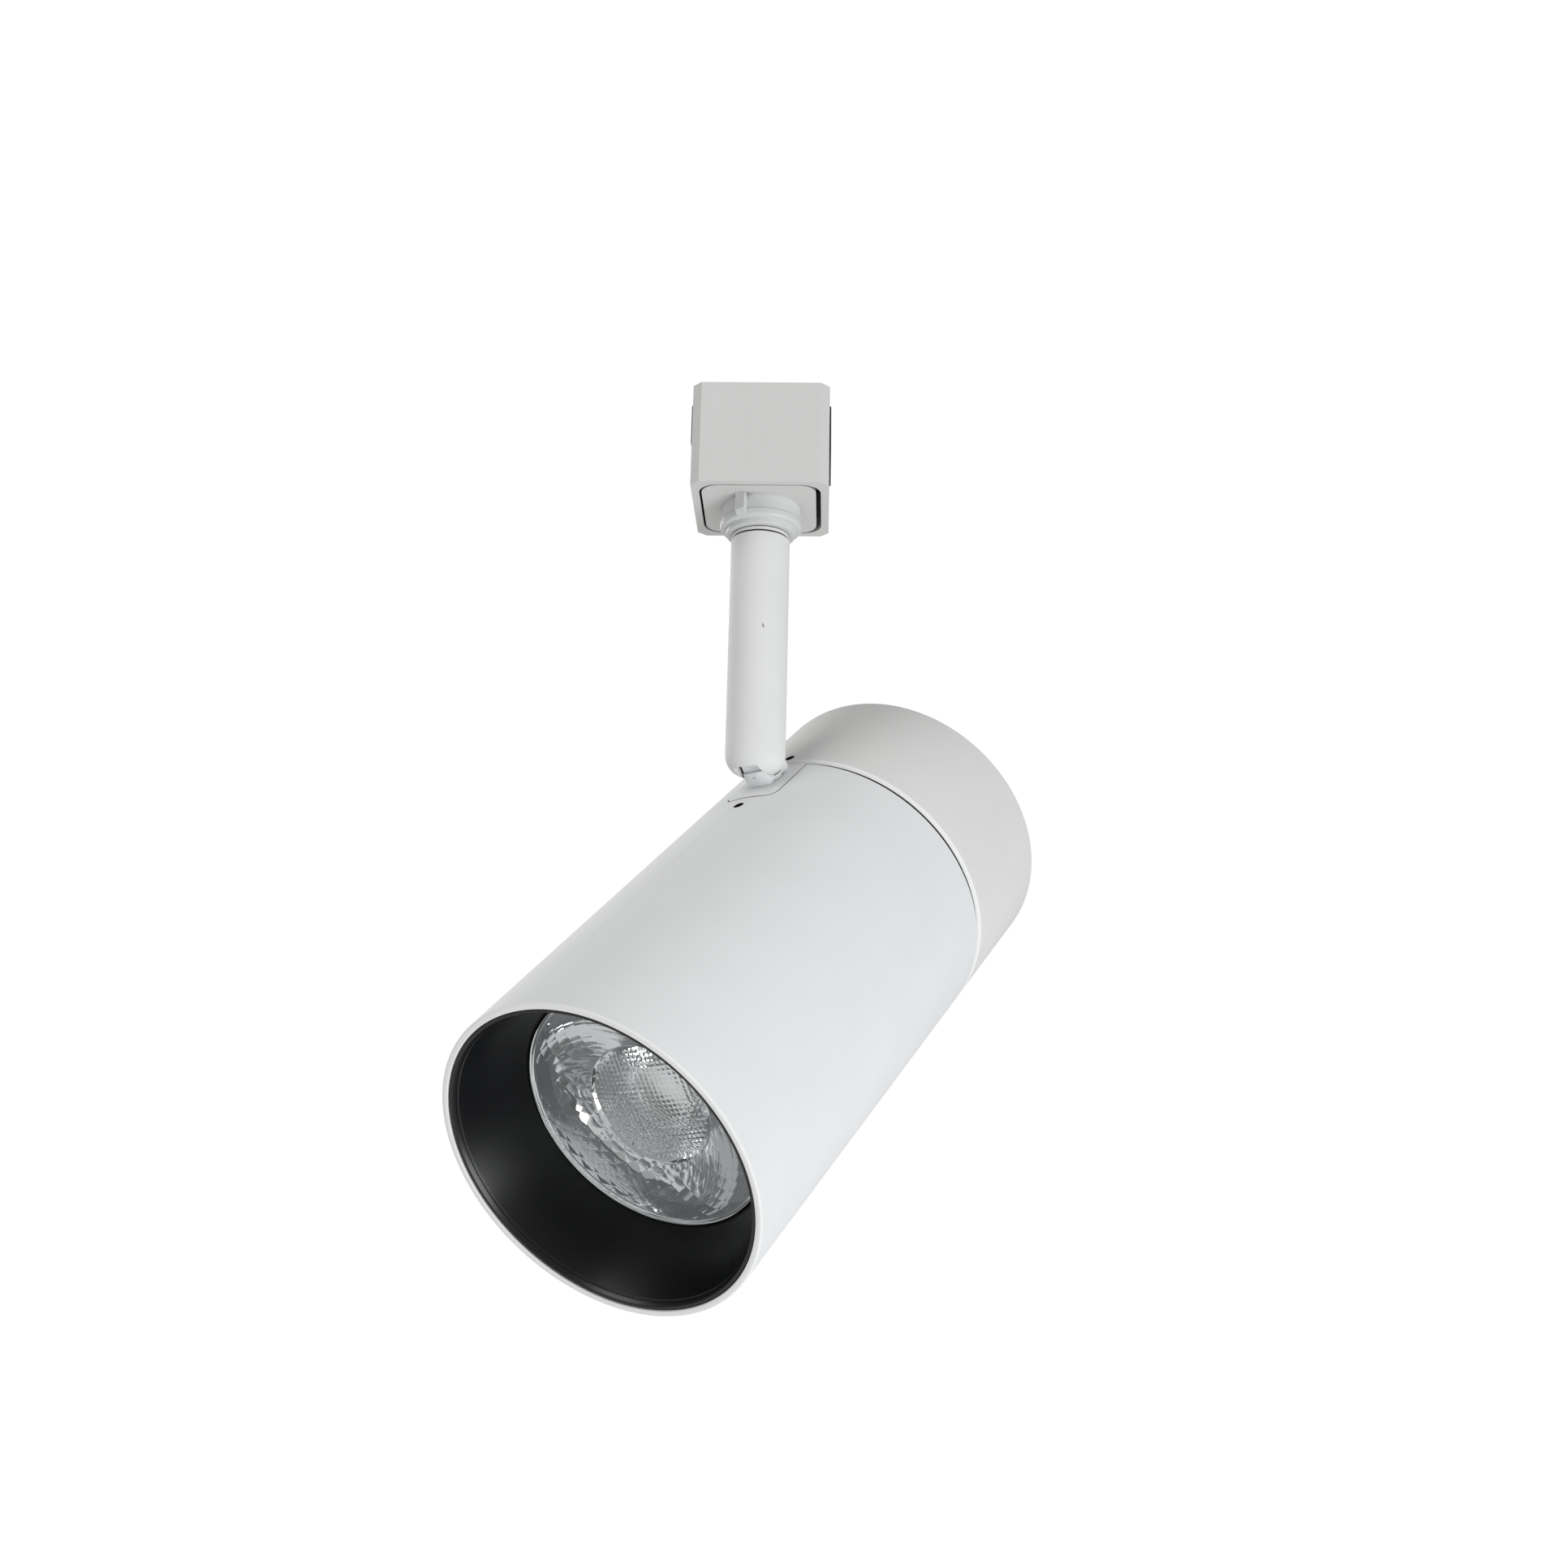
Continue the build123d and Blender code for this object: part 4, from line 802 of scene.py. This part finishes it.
def adapter_shell():
    """Moulded box, open below, with latch windows, contact slots and screw holes."""
    shell = prism(chamfered_square(BOX_W, BOX_D, BOX_CHAMFER), -BOX_H, 0, name="adapter_shell")
    x, y = BOX_W / 2 - BOX_WALL, BOX_D / 2 - BOX_WALL
    mouth_top = MOUTH_DEPTH - BOX_H
    mouth = prism(rectangle(-x, x, -y, y, MOUTH_CORNER, 12), -BOX_H - 1, mouth_top)
    inside = prism(rectangle(-x, x, -y, y, INSIDE_CORNER, 8), mouth_top - 0.1, -BOX_TOP)
    roof = (-4, 1)
    openings = []
    for side in (-1, 1):
        window = sorted((side * 14.0, side * 20.0))
        openings.append(box(window, (-WINDOW_HALF, WINDOW_HALF), (WINDOW_LOW, WINDOW_HIGH)))
        slot = sorted(side * edge for edge in CONTACT_SLOT_X)
        openings.append(box(slot, CONTACT_SLOT_Y, roof))
    openings.append(box(EARTH_SLOT_X, EARTH_SLOT_Y, roof))
    for post in POSTS:
        openings.append(prism(circle(SCREW_HOLE_R, *post, 48), *roof))
        openings.append(turned_sink(post))
    cut(shell, mouth, inside, *openings)
    show(shell, ADAPTER_AT, "adapter", ("adapter_shell",),
         skin("adapter_plastic"), 0.22, 32, 3)


def turned_sink(place):
    """Countersink form for a screw hole in the top face."""
    form = turned("form", [
        (-SINK_DEPTH, 0), (-SINK_DEPTH, SCREW_HOLE_R), (0, SINK_R), (0.5, SINK_R), (0.5, 0)], along_z, 48)
    form.data.transform(Matrix.Translation((*place, 0)))
    return form


def adapter_base():
    """Insert plate that closes the box, with its screw posts and the pan stop."""
    outline = rectangle(*BASE_X, *BASE_Y, BASE_CORNER, 12)
    plate = prism(outline, BASE_LOW - BASE_DROP, BASE_HIGH, name="adapter_base")
    joined(plate, *[prism(circle(POST_R, *post, 48), BASE_HIGH - 0.5, -BOX_TOP - 0.1) for post in POSTS])
    stop = prism(circle(STOP_R, STOP_AT, 0, 24), BASE_HIGH - 1, STOP_TOP)
    stop.data.transform(Matrix.Rotation(PAN + math.pi, 4, "Z"))
    joined(plate, stop)
    cut(plate, prism(circle(COLLAR_PLUG_R + 0.02), BASE_LOW - 1, BASE_HIGH + 1),
        *[prism(circle(POST_BORE_R, *post, 32), -13, 0) for post in POSTS])
    show(plate, ADAPTER_AT, "adapter", ("adapter_base",),
         skin("adapter_plastic"), 0.12, 32)


def swivel_collar():
    """Collar with a rolled flange, a step and the stop rib on its wall."""
    flange_low, flange_high = COLLAR_FLANGE
    neck_top = BASE_LOW - 0.1
    collar = turned("swivel_collar", rounded((
        (COLLAR_LOW, COLLAR_BORE, 0.1), (COLLAR_LOW, COLLAR_STEP_R, 0.3), (flange_low, COLLAR_STEP_R, 0.15),
        (flange_low, COLLAR_FLANGE_R, 0.75), (flange_high, COLLAR_FLANGE_R, 0.3),
        (flange_high + 0.4, COLLAR_R, 0.3), (neck_top, COLLAR_R, 0), (neck_top, COLLAR_PLUG_R, 0),
        (BASE_HIGH, COLLAR_PLUG_R, 0), (BASE_HIGH, COLLAR_BORE, 0),
    )), along_z)
    outline = (
        (COLLAR_STEP_R, BASE_LOW), (STOP_RIB_R, BASE_LOW), (STOP_RIB_R, STOP_RIB_LOW + 1.1),
        (STOP_RIB_R - 1.0, STOP_RIB_LOW), (COLLAR_STEP_R, STOP_RIB_LOW),
    )
    rib = prism([Vector(point) for point in outline], -STOP_RIB_HALF, STOP_RIB_HALF, on_wall)
    rib.data.transform(Matrix.Rotation(math.radians(STOP_RIB_ANGLE), 4, "Z"))
    joined(collar, rib)
    show(collar, ADAPTER_AT, "adapter", ("swivel_collar",),
         skin("collar_plastic"), 0.18, 40, 3)


def release_latch(name, side):
    """Side button with finger ridges, its flange and the hook that grips the track."""
    face = BOX_W / 2
    button = prism(rectangle(-BUTTON_HALF, BUTTON_HALF, BUTTON_LOW, BUTTON_HIGH, 0.8, 4),
                   14.6, face + BUTTON_PROUD, on_side, name)
    flange_width, flange_height, flange_depth = BUTTON_FLANGE
    flange = prism(rectangle(*flange_width, *flange_height), *flange_depth, on_side)
    neck = box((12.6, 14.4), (-HOOK_HALF, HOOK_HALF), (-6, HOOK_TOP))
    outline = (
        (HOOK_ROOT, HOOK_LOW), (HOOK_REACH, HOOK_LOW), (HOOK_REACH, HOOK_TIP),
        (14.4, HOOK_TOP), (HOOK_ROOT, HOOK_TOP),
    )
    hook = prism([Vector(point) for point in outline], -HOOK_HALF, HOOK_HALF, on_wall)
    joined(button, flange, neck, hook)
    ridge_depth = (face + BUTTON_PROUD - RIDGE_DEPTH, face + 1)
    ridges = [box(ridge_depth, (-10, 10), (z - RIDGE_HALF, z + RIDGE_HALF)) for z in BUTTON_RIDGES]
    cut(button, prism(circle(SPRING_SEAT_R, 0, SPRING_SEAT_Z, 48), 13.9, 16.6, on_side), *ridges)
    if side < 0:
        button.data.transform(Matrix.Rotation(math.pi, 4, "Z"))
    show(button, ADAPTER_AT, name.replace("release_", ""), (name,),
         skin("latch_plastic"), 0.15, 32)


# ----------------------------------------------------------- pieces and carried nodes
front_housing()
rear_cap()
mount_plate()
knuckle()
baffle()
lens()
stem()
thrust_washer()
adapter_shell()
adapter_base()
swivel_collar()
release_latch("release_latch_left", -1)
release_latch("release_latch_right", 1)

slots = {part["node"]: part["material_slot"] for part in frame["record"]["subparts"]}
for node, shape in frame["nodes"].items():
    shape.data.materials.clear()
    shape.data.materials.append(skin(slots[node]))

# ------------------------------------------------------------------ studio and camera
# In metres and degrees, in the frame's own axes.
FLOOR_AT, FLOOR_R, FLOOR_GLOW = -2.4, 9.0, 0.25
BACKDROP, AMBIENT = 1.05, 0.32
LIGHT_AIM, LIGHT_DISTANCE, LIGHT_SIDE = Vector((0, 0, -0.12)), 1.6, 0.9
LIGHTS = (
    # name, azimuth from the front towards +X, elevation, power, colour
    ("key", 50, -25, 13.5, (0.98, 0.99, 1.0)),
    ("fill_left", -45, 40, 7.2, (1.0, 1.0, 0.99)),
    ("fill_right", 50, 35, 1.5, (0.98, 0.99, 1.0)),
    ("top", 0, 85, 2.4, (1.0, 0.99, 0.97)),
    ("back", -140, 20, 7.8, (1.0, 0.99, 0.97)),
)
CAMERA_LENS, CAMERA_AT, CAMERA_TURN = 43.29, (0.01997, -0.4521, -0.23217), (106.058, -1.120, 1.273)


def stage_floor():
    """Pale floor well below the hanging lamp."""
    mesh = bmesh.new()
    mesh.faces.new([mesh.verts.new((*p, FLOOR_AT)) for p in circle(FLOOR_R)])
    floor = new_piece("studio_floor", mesh)
    paper = Finish("studio_paper", (0.90, 0.90, 0.90), 0.9)
    paper.mottle_and_shade(paper.noise(400, 2), 0.01)
    paper.set("Emission Color", (1, 1, 1, 1))
    paper.set("Emission Strength", FLOOR_GLOW)
    floor.data.materials.append(paper.material)


def area_light(name, azimuth, elevation, power, colour):
    """Square soft box that looks at the lamp from a direction given in degrees."""
    data = bpy.data.lights.new(name, "AREA")
    data.shape = "SQUARE"
    data.size = LIGHT_SIDE
    data.energy = power
    data.color = colour
    turn, rise = math.radians(azimuth), math.radians(elevation)
    away = Vector((math.sin(turn) * math.cos(rise), -math.cos(turn) * math.cos(rise), math.sin(rise)))
    light = bpy.data.objects.new(name, data)
    light.location = LIGHT_AIM + away * LIGHT_DISTANCE
    light.rotation_euler = (-away).to_track_quat("-Z", "Y").to_euler()
    light.visible_camera = False
    bpy.context.scene.collection.objects.link(light)


def studio_world():
    """White backdrop; what the lamp itself sees of it is a softer grey."""
    world = bpy.data.worlds.new("studio")
    world.use_nodes = True
    tree = world.node_tree
    tree.nodes.clear()
    output = tree.nodes.new("ShaderNodeOutputWorld")
    mix = tree.nodes.new("ShaderNodeMixShader")
    path = tree.nodes.new("ShaderNodeLightPath")
    seen, lit = (tree.nodes.new("ShaderNodeBackground") for _ in range(2))
    seen.inputs["Color"].default_value = (1, 1, 1, 1)
    seen.inputs["Strength"].default_value = BACKDROP
    lit.inputs["Color"].default_value = (0.98, 0.99, 1.0, 1)
    lit.inputs["Strength"].default_value = AMBIENT
    tree.links.new(path.outputs["Is Camera Ray"], mix.inputs["Fac"])
    tree.links.new(lit.outputs["Background"], mix.inputs[1])
    tree.links.new(seen.outputs["Background"], mix.inputs[2])
    tree.links.new(mix.outputs["Shader"], output.inputs["Surface"])
    bpy.context.scene.world = world


def camera():
    """Camera below and in front of the lamp, looking up at it."""
    data = bpy.data.cameras.new("camera")
    data.lens = CAMERA_LENS
    data.sensor_width = 36.0
    data.clip_start, data.clip_end = 0.01, 200
    eye = bpy.data.objects.new("camera", data)
    eye.location = CAMERA_AT
    eye.rotation_euler = [math.radians(angle) for angle in CAMERA_TURN]
    bpy.context.scene.collection.objects.link(eye)
    bpy.context.scene.camera = eye


stage_floor()
studio_world()
for settings in LIGHTS:
    area_light(*settings)
camera()
bpy.context.scene.view_settings.view_transform = "Standard"
